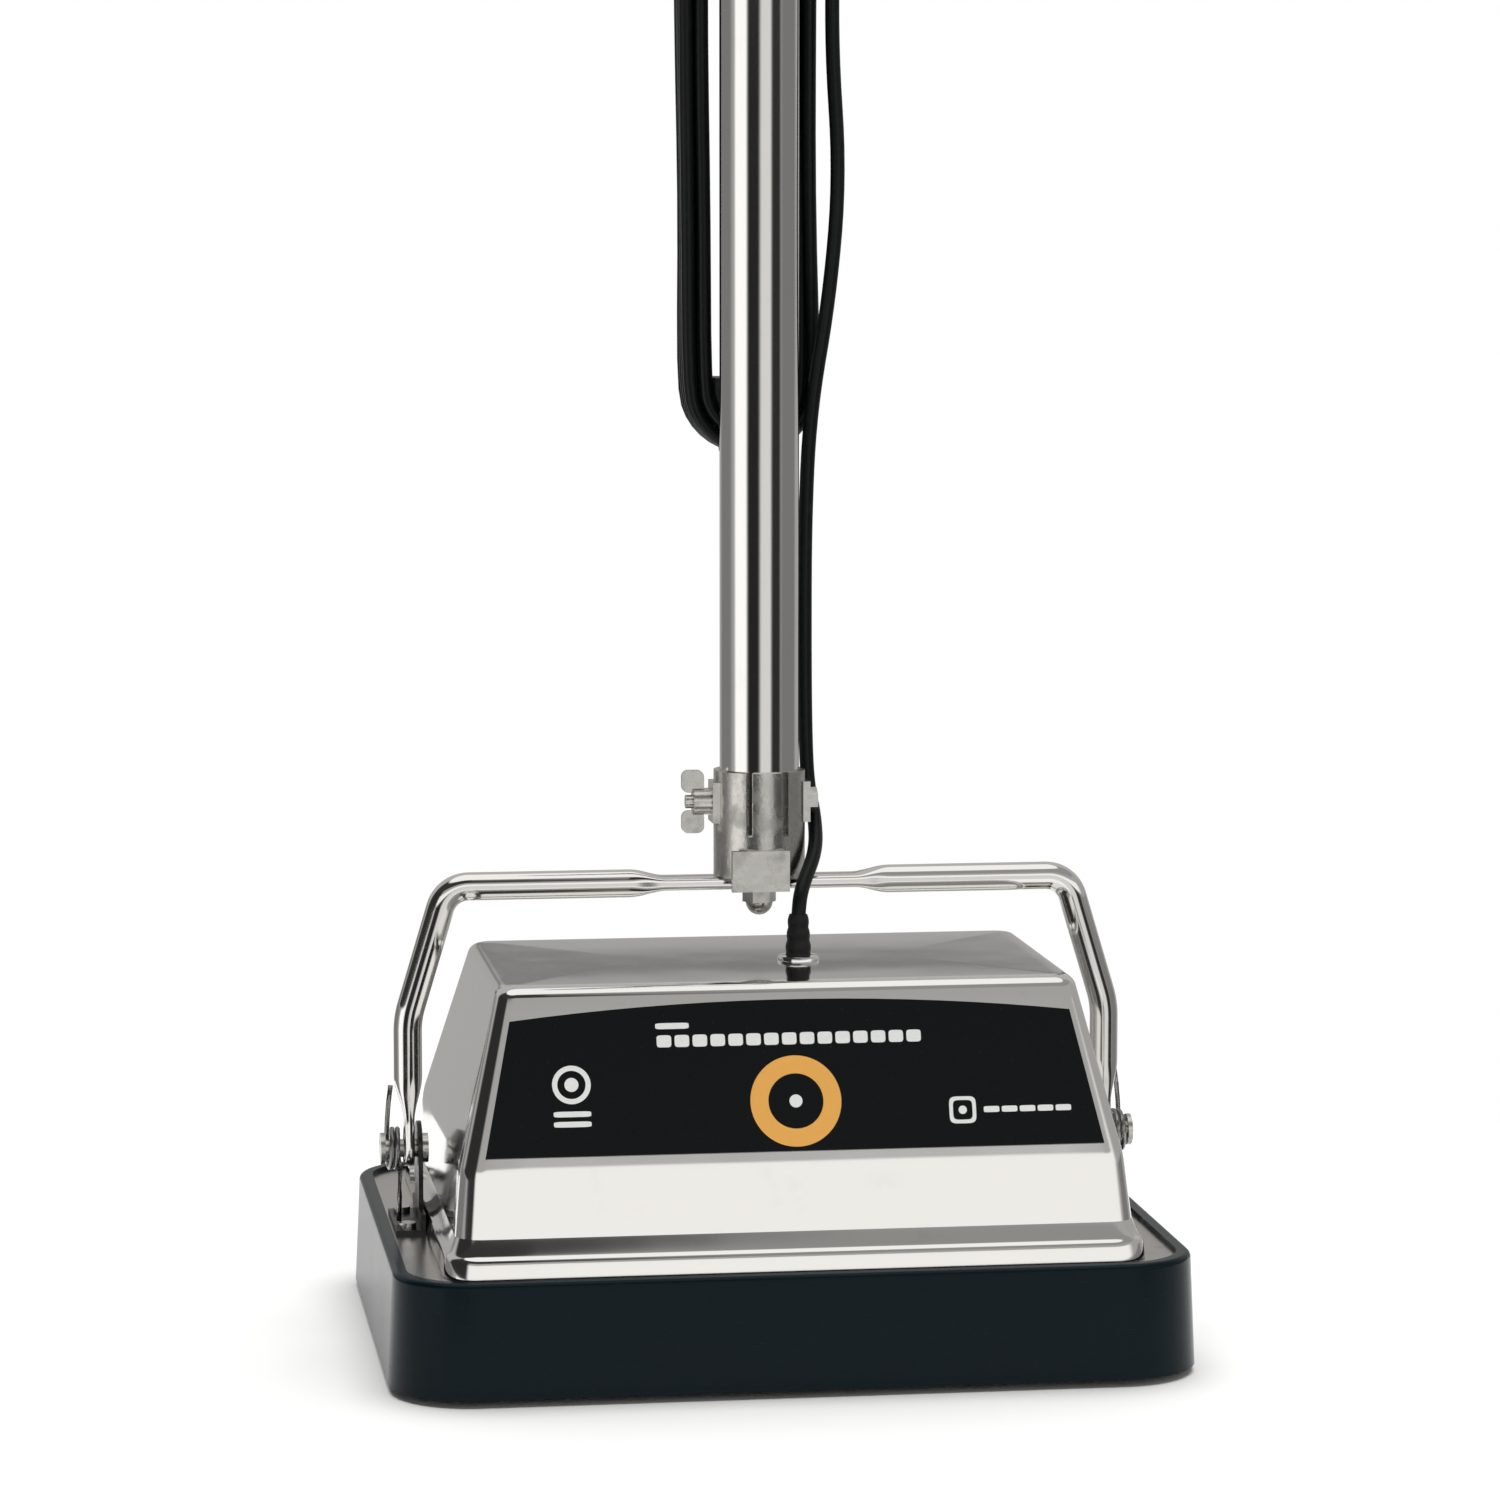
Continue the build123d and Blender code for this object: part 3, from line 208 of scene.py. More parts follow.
class Kit:
    # a node tree being built: a material's, or the world's
    def __init__(self, owner):
        owner.use_nodes = True
        self.owner = owner
        self.tree = owner.node_tree
        self.tree.nodes.clear()

    def feed(self, socket, value):
        if isinstance(value, Wire):
            self.tree.links.new(value.socket, socket)
        else:
            socket.default_value = value

    def node(self, kind, settings=None, links=None):
        made = self.tree.nodes.new(kind)
        for key, value in (settings or {}).items():
            setattr(made, key, value)
        for key, value in (links or {}).items():
            self.feed([s for s in made.inputs if s.enabled and s.name == key][0], value)
        return made

    def add(self, kind, settings=None, links=None, out=None):
        made = self.node(kind, settings, links)
        shown = [s for s in made.outputs if s.enabled]
        picked = shown[0] if out is None else [s for s in shown if s.name == out][0]
        return Wire(self, picked)

    def maths(self, operation, a, b=0.0):
        made = self.node("ShaderNodeMath", {"operation": operation})
        for socket, value in zip(made.inputs, (a, b)):
            self.feed(socket, value)
        return Wire(self, made.outputs[0])

    def step(self, value, low, high):
        return self.add("ShaderNodeMapRange", {"interpolation_type": "SMOOTHSTEP"},
                        {"Value": value, "From Min": low, "From Max": high})

    def mix(self, factor, a, b):
        return self.add("ShaderNodeMix", {"data_type": "RGBA"}, {"Factor": factor, "A": a, "B": b})

    def noise(self, at, scale, detail=3, roughness=0.5):
        links = {"Vector": at, "Scale": scale, "Detail": detail, "Roughness": roughness}
        return self.add("ShaderNodeTexNoise", None, links)

    def here(self, stretch=(1, 1, 1), centre=(0, 0, 0)):
        spot = self.add("ShaderNodeTexCoord", None, None, "Object")
        shift = tuple(-c * s for c, s in zip(centre, stretch))
        return self.add("ShaderNodeMapping", None, {"Vector": spot, "Scale": stretch, "Location": shift})

    def bump(self, height, distance):
        return self.add("ShaderNodeBump", None, {"Height": height, "Distance": distance})

    def surface(self, values):
        shader = self.add("ShaderNodeBsdfPrincipled", None, values)
        self.node("ShaderNodeOutputMaterial", None, {"Surface": shader})
        return self.owner


def newKit(name):
    return Kit(bpy.data.materials.new(name))


def rgb(r, g, b):
    return (r, g, b, 1)


# ---- finishes

def brightPlate(name, tint, rough, ripple):
    # polished plate: faint cloudiness, hairline polishing marks, small smears, a slow ripple of the sheet
    kit = newKit(name)
    cloud = kit.noise(kit.here(), 14, 4)
    hair = kit.noise(kit.here((1, 1, 14)), 260, 2)
    smear = kit.step(kit.noise(kit.here(), 55, 5, 0.65), 0.56, 0.76)
    dull = tuple(0.90 * c for c in tint[:3]) + (1,)
    colour = kit.mix(smear * 0.3, tint, dull)
    roughness = cloud * 0.03 + hair * 0.02 + smear * 0.02 + (rough - 0.025)
    normal = kit.bump(kit.noise(kit.here(), 21, 1), ripple)
    return kit.surface({"Base Color": colour, "Metallic": 1.0, "Roughness": roughness, "Normal": normal})


def platedSteel(name, tint, rough, mottle):
    # zinc-like plating: fine cells of slightly different tone, soft dirt in patches
    kit = newKit(name)
    cells = kit.add("ShaderNodeTexVoronoi", None, {"Vector": kit.here(), "Scale": 420}, "Color")
    tone = kit.add("ShaderNodeSeparateColor", None, {"Color": cells})
    dirt = kit.step(kit.noise(kit.here(), 95, 5, 0.6), 0.45, 0.75)
    dark = tuple(0.45 * c for c in tint[:3]) + (1,)
    shade = kit.mix(tone * mottle, tint, dark)
    colour = kit.mix(dirt * 0.5, shade, dark)
    normal = kit.bump(kit.noise(kit.here(), 700, 3), 0.00008)
    return kit.surface({"Base Color": colour, "Metallic": 1.0, "Roughness": dirt * 0.18 + rough,
                        "Normal": normal})


def castMetal():
    # tumbled die casting: orange-peel skin, cloudy flow marks
    kit = newKit("castMetal")
    flow = kit.noise(kit.here(), 24, 5, 0.6)
    skin = kit.noise(kit.here(), 420, 4, 0.6)
    grime = kit.step(kit.noise(kit.here(), 48, 5, 0.55), 0.52, 0.8)
    colour = kit.mix(flow, rgb(0.50, 0.475, 0.44), rgb(0.62, 0.60, 0.565))
    colour = kit.mix(grime * 0.4, colour, rgb(0.24, 0.22, 0.20))
    normal = kit.bump(skin, 0.00004)
    return kit.surface({"Base Color": colour, "Metallic": 1.0, "Roughness": flow * 0.10 + 0.17,
                        "Normal": normal})


def mouldedRubber():
    # bumper: blue-black, satin with a wiped sheen, faint scuffs
    kit = newKit("mouldedRubber")
    bloom = kit.noise(kit.here(), 11, 4, 0.6)
    scuff = kit.step(kit.noise(kit.here((1, 1, 9)), 130, 4, 0.7), 0.60, 0.78)
    grain = kit.noise(kit.here(), 1500, 2)
    colour = kit.mix(bloom, rgb(0.0014, 0.0068, 0.0105), rgb(0.0026, 0.0100, 0.0145))
    colour = kit.mix(scuff * 0.3, colour, rgb(0.016, 0.021, 0.025))
    normal = kit.bump(grain * 0.4 + scuff * 0.6, 0.00005)
    return kit.surface({"Base Color": colour, "Roughness": scuff * 0.16 + bloom * 0.06 + 0.18,
                        "Specular IOR Level": 0.11, "Normal": normal})


def softBlack(name, base, rough, grainScale, grainDepth):
    # black plastic or rubber with an eroded grain, greyer where hands and knocks rub it
    kit = newKit(name)
    wear = kit.step(kit.noise(kit.here(), 45, 5, 0.65), 0.55, 0.8)
    grain = kit.noise(kit.here(), grainScale, 3, 0.6)
    lighter = tuple(2.6 * c for c in base[:3]) + (1,)
    colour = kit.mix(wear * 0.45, base, lighter)
    normal = kit.bump(grain, grainDepth)
    return kit.surface({"Base Color": colour, "Roughness": grain * 0.12 + wear * 0.1 + rough,
                        "Specular IOR Level": 0.3, "Normal": normal})


def printedPanel():
    # gloss black film: tiny dust and wiping streaks in the gloss
    kit = newKit("printedPanel")
    dust = kit.step(kit.noise(kit.here(), 900, 2), 0.68, 0.74)
    wipe = kit.noise(kit.here((1, 3, 3)), 26, 5, 0.65)
    colour = kit.mix(dust * 0.5, rgb(0.0032, 0.0042, 0.0050), rgb(0.022, 0.024, 0.026))
    normal = kit.bump(kit.noise(kit.here(), 16, 1), 0.00012)
    return kit.surface({"Base Color": colour, "Roughness": wipe * 0.1 + 0.2, "Specular IOR Level": 0.12,
                        "Normal": normal})


def printInk(name, ink):
    kit = newKit(name)
    speck = kit.noise(kit.here(), 1400, 3)
    faded = tuple(0.88 * c for c in ink[:3]) + (1,)
    colour = kit.mix(speck, ink, faded)
    return kit.surface({"Base Color": colour, "Roughness": speck * 0.1 + 0.32,
                        "Normal": kit.bump(speck, 0.00002)})


def cordSheath():
    # flexible sheath: satin black, scuffed, with a faintly uneven skin
    kit = newKit("cordSheath")
    scuff = kit.step(kit.noise(kit.here(), 150, 5, 0.7), 0.52, 0.8)
    colour = kit.mix(scuff * 0.4, rgb(0.0045, 0.0065, 0.0065), rgb(0.018, 0.021, 0.020))
    normal = kit.bump(kit.noise(kit.here(), 520, 3), 0.00010)
    return kit.surface({"Base Color": colour, "Roughness": scuff * 0.16 + 0.34, "Specular IOR Level": 0.22,
                        "Normal": normal})


def laminatedFibre():
    kit = newKit("laminatedFibre")
    layers = kit.add("ShaderNodeTexWave", {"bands_direction": "Z"},
                     {"Vector": kit.here(), "Scale": 320, "Distortion": 1.5, "Detail": 2})
    weave = kit.noise(kit.here(), 650, 4, 0.6)
    colour = kit.mix(layers * 0.4 + weave * 0.4, rgb(0.30, 0.17, 0.075), rgb(0.48, 0.30, 0.15))
    return kit.surface({"Base Color": colour, "Roughness": weave * 0.2 + 0.45,
                        "Normal": kit.bump(weave, 0.0001)})


def turnedBeech(name, centreX):
    # wood with growth rings about an axis well off the disc, and short rays
    kit = newKit(name)
    spot = kit.here((1, 1, 1), (centreX - 0.12, 0.05, 0))
    rings = kit.add("ShaderNodeTexWave", {"wave_type": "RINGS", "rings_direction": "Z"},
                    {"Vector": spot, "Scale": 95, "Distortion": 3.5, "Detail": 3, "Detail Scale": 1.6})
    rays = kit.step(kit.noise(kit.here((1, 6, 1)), 420, 2), 0.58, 0.7)
    colour = kit.mix(rings * 0.7, rgb(0.50, 0.33, 0.17), rgb(0.33, 0.19, 0.09))
    colour = kit.mix(rays * 0.5, colour, rgb(0.24, 0.13, 0.06))
    return kit.surface({"Base Color": colour, "Roughness": rings * 0.12 + 0.42,
                        "Normal": kit.bump(rings * 0.3 + rays * 0.7, 0.00012)})


def bristleFibre():
    kit = newKit("bristleFibre")
    strands = kit.noise(kit.here((1, 1, 0.08)), 2600, 2)
    tone = kit.noise(kit.here(), 60, 3)
    colour = kit.mix(strands, rgb(0.10, 0.065, 0.035), rgb(0.42, 0.31, 0.18))
    colour = kit.mix(tone * 0.5, colour, rgb(0.20, 0.14, 0.08))
    return kit.surface({"Base Color": colour, "Roughness": 0.62, "Normal": kit.bump(strands, 0.0003)})


def windingCopper():
    kit = newKit("windingCopper")
    turns = kit.add("ShaderNodeTexWave", {"bands_direction": "Z"},
                    {"Vector": kit.here(), "Scale": 420, "Distortion": 2.5, "Detail": 1})
    tone = kit.noise(kit.here(), 70, 4)
    colour = kit.mix(tone, rgb(0.42, 0.15, 0.05), rgb(0.62, 0.27, 0.10))
    return kit.surface({"Base Color": colour, "Metallic": 0.85, "Roughness": tone * 0.15 + 0.25,
                        "Coat Weight": 0.5, "Coat Roughness": 0.2, "Normal": kit.bump(turns, 0.0003)})


def stackedSteel():
    kit = newKit("stackedSteel")
    layers = kit.add("ShaderNodeTexWave", {"bands_direction": "Z"},
                     {"Vector": kit.here(), "Scale": 620, "Distortion": 0.3, "Detail": 1})
    stain = kit.noise(kit.here(), 90, 5, 0.6)
    colour = kit.mix(stain, rgb(0.20, 0.20, 0.21), rgb(0.34, 0.33, 0.32))
    return kit.surface({"Base Color": colour, "Metallic": 1.0, "Roughness": stain * 0.2 + 0.35,
                        "Normal": kit.bump(layers, 0.0001)})


def sliderRed():
    kit = newKit("sliderRed")
    speck = kit.noise(kit.here(), 700, 3)
    colour = kit.mix(speck, rgb(0.50, 0.020, 0.014), rgb(0.62, 0.035, 0.022))
    return kit.surface({"Base Color": colour, "Roughness": speck * 0.12 + 0.25,
                        "Normal": kit.bump(speck, 0.00004)})


def paleFloor():
    kit = newKit("paleFloor")
    tone = kit.noise(kit.here(), 3, 2)
    colour = kit.mix(tone, rgb(0.93, 0.93, 0.93), rgb(0.95, 0.95, 0.95))
    return kit.surface({"Base Color": colour, "Roughness": 0.9, "Specular IOR Level": 0.0})


finishes = {
    "polished_steel": brightPlate("polishedSteel", rgb(0.79, 0.782, 0.765), 0.085, 0.00012),
    "zinc_steel": platedSteel("zincSteel", rgb(0.60, 0.59, 0.56), 0.24, 0.16),
    "dark_steel": platedSteel("darkSteel", rgb(0.050, 0.052, 0.050), 0.30, 0.5),
    "bearing_steel": platedSteel("bearingSteel", rgb(0.62, 0.62, 0.63), 0.16, 0.12),
    "spring_steel": platedSteel("springSteel", rgb(0.34, 0.34, 0.33), 0.24, 0.4),
    "lamination_steel": stackedSteel(),
    "cast_deck": castMetal(),
    "bumper_rubber": mouldedRubber(),
    "black_rubber": softBlack("blackRubber", rgb(0.010, 0.011, 0.011), 0.42, 900, 0.00008),
    "cord_rubber": cordSheath(),
    "black_panel": printedPanel(),
    "black_plastic": softBlack("blackPlastic", rgb(0.014, 0.014, 0.015), 0.38, 1300, 0.00012),
    "red_plastic": sliderRed(),
    "fibre_gear": laminatedFibre(),
    "bristle_fibre": bristleFibre(),
    "copper_winding": windingCopper(),
    "brass": platedSteel("turnedBrass", rgb(0.74, 0.52, 0.22), 0.2, 0.15),
}
whiteInk = printInk("whiteInk", rgb(0.97, 0.98, 0.97))
orangeInk = printInk("orangeInk", rgb(1.0, 0.50, 0.10))
print("finishes made")


# ---- camera

view = {"azimuth": -8.13, "elevation": 6.15, "distance": 2.2, "target": (-0.0041, 0.0, 0.2585),
        "lens": 119.35, "sensor": 36}


def addCamera():
    # camera = target + distance along (sin a cos e, -cos a cos e, sin e)
    a, e = math.radians(view["azimuth"]), math.radians(view["elevation"])
    outward = Vector((math.sin(a) * math.cos(e), -math.cos(a) * math.cos(e), math.sin(e)))
    data = bpy.data.cameras.new("camera")
    data.lens = view["lens"]
    data.sensor_width = view["sensor"]
    camera = bpy.data.objects.new("camera", data)
    camera.location = Vector(view["target"]) + view["distance"] * outward
    camera.rotation_euler = outward.to_track_quat("Z", "Y").to_euler()
    bpy.context.scene.collection.objects.link(camera)
    bpy.context.scene.camera = camera


addCamera()


# ---- cords

# the motor lead's control points: out of the hood, up the handle and into its relief under the grip
leadRoute = [
    (0.0130, -0.0300, 0.1660), (0.0130, -0.0300, 0.1790), (0.0130, -0.0300, 0.1890),
    (0.0150, -0.0252, 0.2000), (0.0244, -0.0083, 0.2140), (0.0260, 0.0072, 0.2280),
    (0.0236, 0.0116, 0.2410), (0.0224, 0.0110, 0.2620), (0.0216, 0.0086, 0.3020), (0.0220, 0.0105, 0.3600),
    (0.0240, 0.0090, 0.4080),
    (0.0330, 0.0110, 0.4580), (0.0380, 0.0140, 0.5120), (0.0340, 0.0150, 0.5700), (0.0355, 0.0155, 0.6300),
    (0.0345, 0.0140, 0.6900), (0.0365, 0.0150, 0.7500), (0.0350, 0.0145, 0.8100), (0.0345, 0.0155, 0.8680),
    (0.0270, 0.0170, 0.9120), (0.0240, 0.0195, 0.9360), (0.0240, 0.0200, 0.9550),
]
# the mains cord's: from its relief to the first turn on the hooks, and from the last turn to the plug
mainsStart = [
    (-0.0010, 0.0260, 0.9550), (-0.0015, 0.0265, 0.9440), (-0.0010, 0.0270, 0.9320),
    (-0.0060, 0.0262, 0.9225), (-0.0165, 0.0245, 0.9110), (-0.0258, 0.0240, 0.8990),
]
mainsTail = [
    (-0.0278, 0.0445, 0.8900), (-0.0235, 0.0485, 0.8800), (-0.0175, 0.0512, 0.8680),
    (-0.0175, 0.0540, 0.8500), (-0.0173, 0.0570, 0.8280), (-0.0170, 0.0580, 0.8000),
    (-0.0170, 0.0580, 0.7600),
]
# "places" gives each turn's layer, counted back from the front, and its row: inner 0 or outer 1; the last
# pair is where the eighth turn ends
hank = {"top": 0.885, "bottom": 0.418, "reach": (0.0204, 0.0271), "front": 0.0239, "pitch": 0.0067,
        "places": [(0, 1), (0, 0), (1, 0), (1, 1), (2, 1), (2, 0), (3, 0), (3, 1), (3, 1)],
        "bendStep": 30, "loose": 0.0007, "swing": 0.0018}
cord = {"radius": 0.0032, "leadSteps": 6, "mainsSteps": 3, "leadSides": 12, "mainsSides": 10}


def splineLine(name, points, resolution):
    # the points are the control points of one open NURBS spline; its line is read back as points
    curve = bpy.data.curves.new(name, "CURVE")
    curve.dimensions = "3D"
    curve.resolution_u = resolution
    spline = curve.splines.new("NURBS")
    spline.points.add(len(points) - 1)
    spline.points.foreach_set("co", np.column_stack([points, np.ones(len(points))]).ravel())
    spline.order_u = 3
    spline.use_endpoint_u = True
    holder = bpy.data.objects.new(name, curve)
    line = bpy.data.meshes.new_from_object(holder)
    places = np.zeros(len(line.vertices) * 3)
    line.vertices.foreach_get("co", places)
    bpy.data.objects.remove(holder)
    bpy.data.meshes.remove(line)
    places = places.reshape(-1, 3)
    return places if np.linalg.norm(places[0] - points[0]) < 0.001 else places[::-1]


def lineLength(line):
    return float(np.linalg.norm(np.diff(line, axis=0), axis=1).sum())


def hankPoints():
    # each turn: down the left side, round the lower hook, up the right side and over the upper hook to
    # the next turn's place
    bends = np.radians(np.arange(0, 181, hank["bendStep"]))
    spread = 1 / math.cos(math.radians(hank["bendStep"] / 2))  # control points stand out round a bend
    sides = np.linspace(0, 1, 7)[1:-1]
    drop = hank["top"] + sides * (hank["bottom"] - hank["top"])
    share = smoothStep(0.15, 0.85, bends / np.pi)
    depths = [hank["front"] + hank["pitch"] * layer for layer, row in hank["places"]]
    reaches = [hank["reach"][row] for layer, row in hank["places"]]
    places = []
    for reach, nextReach, y, nextY in zip(reaches, reaches[1:], depths, depths[1:]):
        # both sides sag a little to the left, each by its own amount
        sag, rise = [hank["loose"] * rng.standard_normal(len(sides)) - hank["swing"] * np.sin(np.pi * sides)
                     for _ in range(2)]
        left = np.column_stack([-reach + sag, np.full(len(sides), y), drop])
        under = np.column_stack([-reach * spread * np.cos(bends), np.full(len(bends), y),
                                 hank["bottom"] - reach * spread * np.sin(bends)])
        right = np.column_stack([reach + rise, np.full(len(sides), y), drop[::-1]])
        radius = (reach + share * (nextReach - reach)) * spread
        over = np.column_stack([radius * np.cos(bends), y + share * (nextY - y),
                                hank["top"] + radius * np.sin(bends)])
        places += [left, under, right, over]
    return np.concatenate(places)[:-1]  # the last turn leaves the upper hook before its left end


def makeCords():
    radius = cord["radius"]
    lead = splineLine("leadLine", np.array(leadRoute), cord["leadSteps"])
    skin = ringSkin(sweep(lead, radius, radius, (1, 0, 0), cord["leadSides"]))
    piece = faceOut(makePiece("motorLead", *skin))
    piece.data.materials.append(finishes["cord_rubber"])
    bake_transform(piece)
    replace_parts(piece, "motor_lead", "lead_stub")
    points = np.concatenate([mainsStart, hankPoints(), mainsTail])
    mains = splineLine("mainsLine", points, cord["mainsSteps"])
    skin = ringSkin(sweep(mains, radius, radius, (0, 1, 0), cord["mainsSides"]))
    wound = place(faceOut(makePiece("mainsCord", *skin)), "handle", finishes["cord_rubber"], "cord_rubber",
                  "mains_cord", "cord_hank", "mains_tail")
    print("motor lead", round(lineLength(lead), 3), "m, mains cord", round(lineLength(mains), 3), "m")
    return wound, mains


mainsCord, mainsLine = makeCords()
print("cords made")


# ---- hood, its trim and the printed panel

hood = {"z": (0.046, 0.094, 0.169), "half": (0.14764, 0.1425, 0.1245), "front": (-0.12529, -0.115, -0.091),
        "back": (0.11543, 0.104, 0.052), "corner": (0.0123, 0.010, 0.008), "soften": 0.0022, "edge": 0.0042,
        "roof": 0.058, "crown": 0.0005, "sheet": 0.0013, "hem": 0.0505, "leastCorner": 0.0016}
# the trim's outline as (distance out from the hood's wall, z): a lip below, a hollow above it
trimOutline = [
    (0.0001, 0.0501), (0.0030, 0.0501), (0.0036, 0.0506), (0.0037, 0.0520), (0.0036, 0.0545),
    (0.0035, 0.0570), (0.0033, 0.0583), (0.0029, 0.0591), (0.0023, 0.0596), (0.0020, 0.0600),
    (0.0016, 0.0610), (0.0011, 0.0625), (0.0007, 0.0640), (0.0003, 0.0655), (0.0000, 0.0668),
    (-0.0004, 0.0668),
]


def loopColumns(cornerSteps, sideSteps):
    # each column of a rounded rectangle as (corner sign x, corner sign y, cosine, sine); the signs run
    # evenly from one corner to the next along a straight side
    signs = [(1, 1), (-1, 1), (-1, -1), (1, -1)]
    parts = []
    for k, (signX, signY) in enumerate(signs):
        nextX, nextY = signs[(k + 1) % 4]
        angle = np.radians(90 * k + np.linspace(0, 90, cornerSteps + 1))
        parts.append(np.column_stack([np.full(len(angle), signX), np.full(len(angle), signY),
                                      np.cos(angle), np.sin(angle)]))
        share = np.linspace(0, 1, sideSteps + 1)[1:-1]
        still = np.ones(len(share))
        parts.append(np.column_stack([signX + (nextX - signX) * share, signY + (nextY - signY) * share,
                                      still * math.cos(angle[-1]), still * math.sin(angle[-1])]))
    return np.concatenate(parts)


def roundedRings(columns, half, front, back, radius, z):
    # a rounded rectangle for each row: corner centre by its signs, then the radius along the column's angle
    half, front, back, radius, z = [np.broadcast_to(v, np.shape(z))[:, None]
                                    for v in (half, front, back, radius, z)]
    signX, signY, cosine, sine = columns.T
    x = signX * (half - radius) + radius * cosine
    y = (front + back) / 2 + signY * ((back - front) / 2 - radius) + radius * sine
    return np.stack([x, y, np.broadcast_to(z, x.shape)], axis=-1)


def hoodWall(z):
    # half width, front, back and corner radius at each height: straight between the levels, averaged over
    # a short window so that each break is a small bend
    spots = z[:, None] + np.linspace(-hood["soften"], hood["soften"], 9)
    return [np.interp(spots, hood["z"], hood[k]).mean(axis=1) for k in ("half", "front", "back", "corner")]


def makeHood():
    # rows up the wall, closer where it bends, then round the top edge (a quarter circle), then in over a
    # gently crowned roof
    knee, top, edge, roof = hood["z"][1], hood["z"][2], hood["edge"], hood["roof"]
    wall = np.concatenate([np.linspace(hood["hem"], knee - 0.0040, 9),
                           np.linspace(knee - 0.0035, knee + 0.0035, 12),
                           np.linspace(knee + 0.0050, top - edge, 12)])
    turn = np.radians(np.linspace(0, 90, 9))[1:]
    inward = np.linspace(0, roof, 15)[1:]
    z = np.concatenate([wall, top - edge + edge * np.sin(turn), np.full(len(inward), top)])
    inset = np.concatenate([np.zeros(len(wall)), edge * (1 - np.cos(turn)), edge + inward])
    rise = np.concatenate([np.zeros(len(wall) + len(turn)), hood["crown"] * (1 - (1 - inward / roof) ** 2)])
    half, front, back, corner = hoodWall(z)
    rings = roundedRings(loopColumns(9, 16), half - inset, front + inset, back - inset,
                         np.maximum(corner - inset / 2, hood["leastCorner"]), z + rise - hood["crown"])
    points, faces = ringSkin(rings, caps=False)
    faces.append(((len(z) - 1) * rings.shape[1] + np.arange(rings.shape[1])).tolist())
    piece = makePiece("hoodShell", points, faces)
    sheet = piece.modifiers.new("sheet", "SOLIDIFY")
    sheet.thickness = hood["sheet"]
    sheet.offset = -1
    return place(piece, "base", finishes["polished_steel"], "polished_steel", "hood")


def makeTrim():
    # the outline carried round the hood's foot, which leans in as it rises
    out, z = np.array(trimOutline).T
    half, front, back, corner = hoodWall(z)
    rings = roundedRings(loopColumns(10, 12), half + out, front - out, back + out, corner + out, z)
    piece = softenEdges(faceOut(makePiece("trimBand", *closedRings(rings))), 40)
    return place(piece, "base", finishes["polished_steel"], "polished_steel", "hood_trim")


# places on the panel are (across, up the slope) from its middle
marks = {"title": (-0.0590, 0.0560), "titleUp": 0.0146, "blocks": 15, "subtitle": (-0.0515, 0.0211),
         "ring": (0.0002, -0.0122), "badge": (-0.0952, -0.0030), "badgeBars": (0.0125, 0.0168),
         "stamp": (0.0718, -0.0178), "stampBars": 5, "stampFirst": 0.0125, "stampPitch": 0.0078,
         "proud": 0.00112}


def panelPoint(across, up):
    # a place just proud of the sloping front: along X and up the slope, from the face's middle
    low, high = [np.array([0, hood["front"][k], hood["z"][k]]) for k in (1, 2)]
    slope = unit(high - low)
    out = np.array([0, -slope[2], slope[1]])
    middle = (low + high) / 2 + marks["proud"] * out
    across, up = np.broadcast_arrays(across, up)
    return middle + across[..., None] * np.array([1, 0, 0]) + up[..., None] * slope


def inkShape(centre, half, shares, power, steps):
    # superellipses about one centre, each the share of the full size, skinned from one to the next
    c, s = superellipse(np.linspace(0, 2 * np.pi, steps, endpoint=False), power)
    share = np.array(shares)[:, None]
    points = panelPoint(centre[0] + share * half[0] * c, centre[1] + share * half[1] * s)
    return points.reshape(-1, 3), loopFaces(len(shares), steps)


def inkRing(centre, outer, inner, power=2.0, steps=48):
    return inkShape(centre, (outer, outer), (1.0, inner / outer), power, steps)


def inkBar(centre, halfLong, halfTall, power=6.0):
    return inkShape(centre, (halfLong, halfTall), (1.0, 0.5, 0.02), power, 24)


def makeMarks():
    # plain shapes only: a row of short blocks, a ring, a badge with two bars, a square with a row of bars
    badge, stamp = marks["badge"], marks["stamp"]
    edges = np.linspace(*marks["title"], marks["blocks"] + 1)
    white = [inkBar(((low + high) / 2, marks["titleUp"]), 0.41 * (high - low), 0.0026, 5)
             for low, high in zip(edges, edges[1:])]
    white.append(inkBar(marks["subtitle"], 0.0072, 0.0013))
    white.append(inkRing(badge, 0.0082, 0.0060))
    white.append(inkBar(badge, 0.0030, 0.0030, 2))
    white += [inkBar((badge[0], badge[1] - down), 0.0080, 0.0012) for down in marks["badgeBars"]]
    white.append(inkRing(stamp, 0.0058, 0.0042, 5))
    white.append(inkBar(stamp, 0.0018, 0.0018, 2))
    white += [inkBar((stamp[0] + marks["stampFirst"] + marks["stampPitch"] * k, stamp[1]), 0.0034, 0.0013)
              for k in range(marks["stampBars"])]
    white.append(inkBar(marks["ring"], 0.0028, 0.0028, 2))
    place(makePiece("whitePrint", *joinSkins(white)), "base", whiteInk, "black_panel")
    ring = makePiece("orangePrint", *inkRing(marks["ring"], 0.0195, 0.0118, 2, 72))
    place(ring, "base", orangeInk, "black_panel")


makeHood()
makeTrim()
makeMarks()
print("hood made")


# ---- bail, springs and tubes

# each end is a flattened tongue and the middle a wide flat: (half thickness, half width)
bail = {"x": 0.1565, "low": 0.0762, "pivot": 0.084, "bend": 0.142, "topX": 0.139, "top": 0.200,
        "bends": (0.040, 0.013, 0.013, 0.040), "tube": 0.00625, "tongue": (0.0025, 0.008),
        "tongueEnds": (0.097, 0.116), "flat": (0.0030, 0.0076), "flatEnds": (0.042, 0.058)}
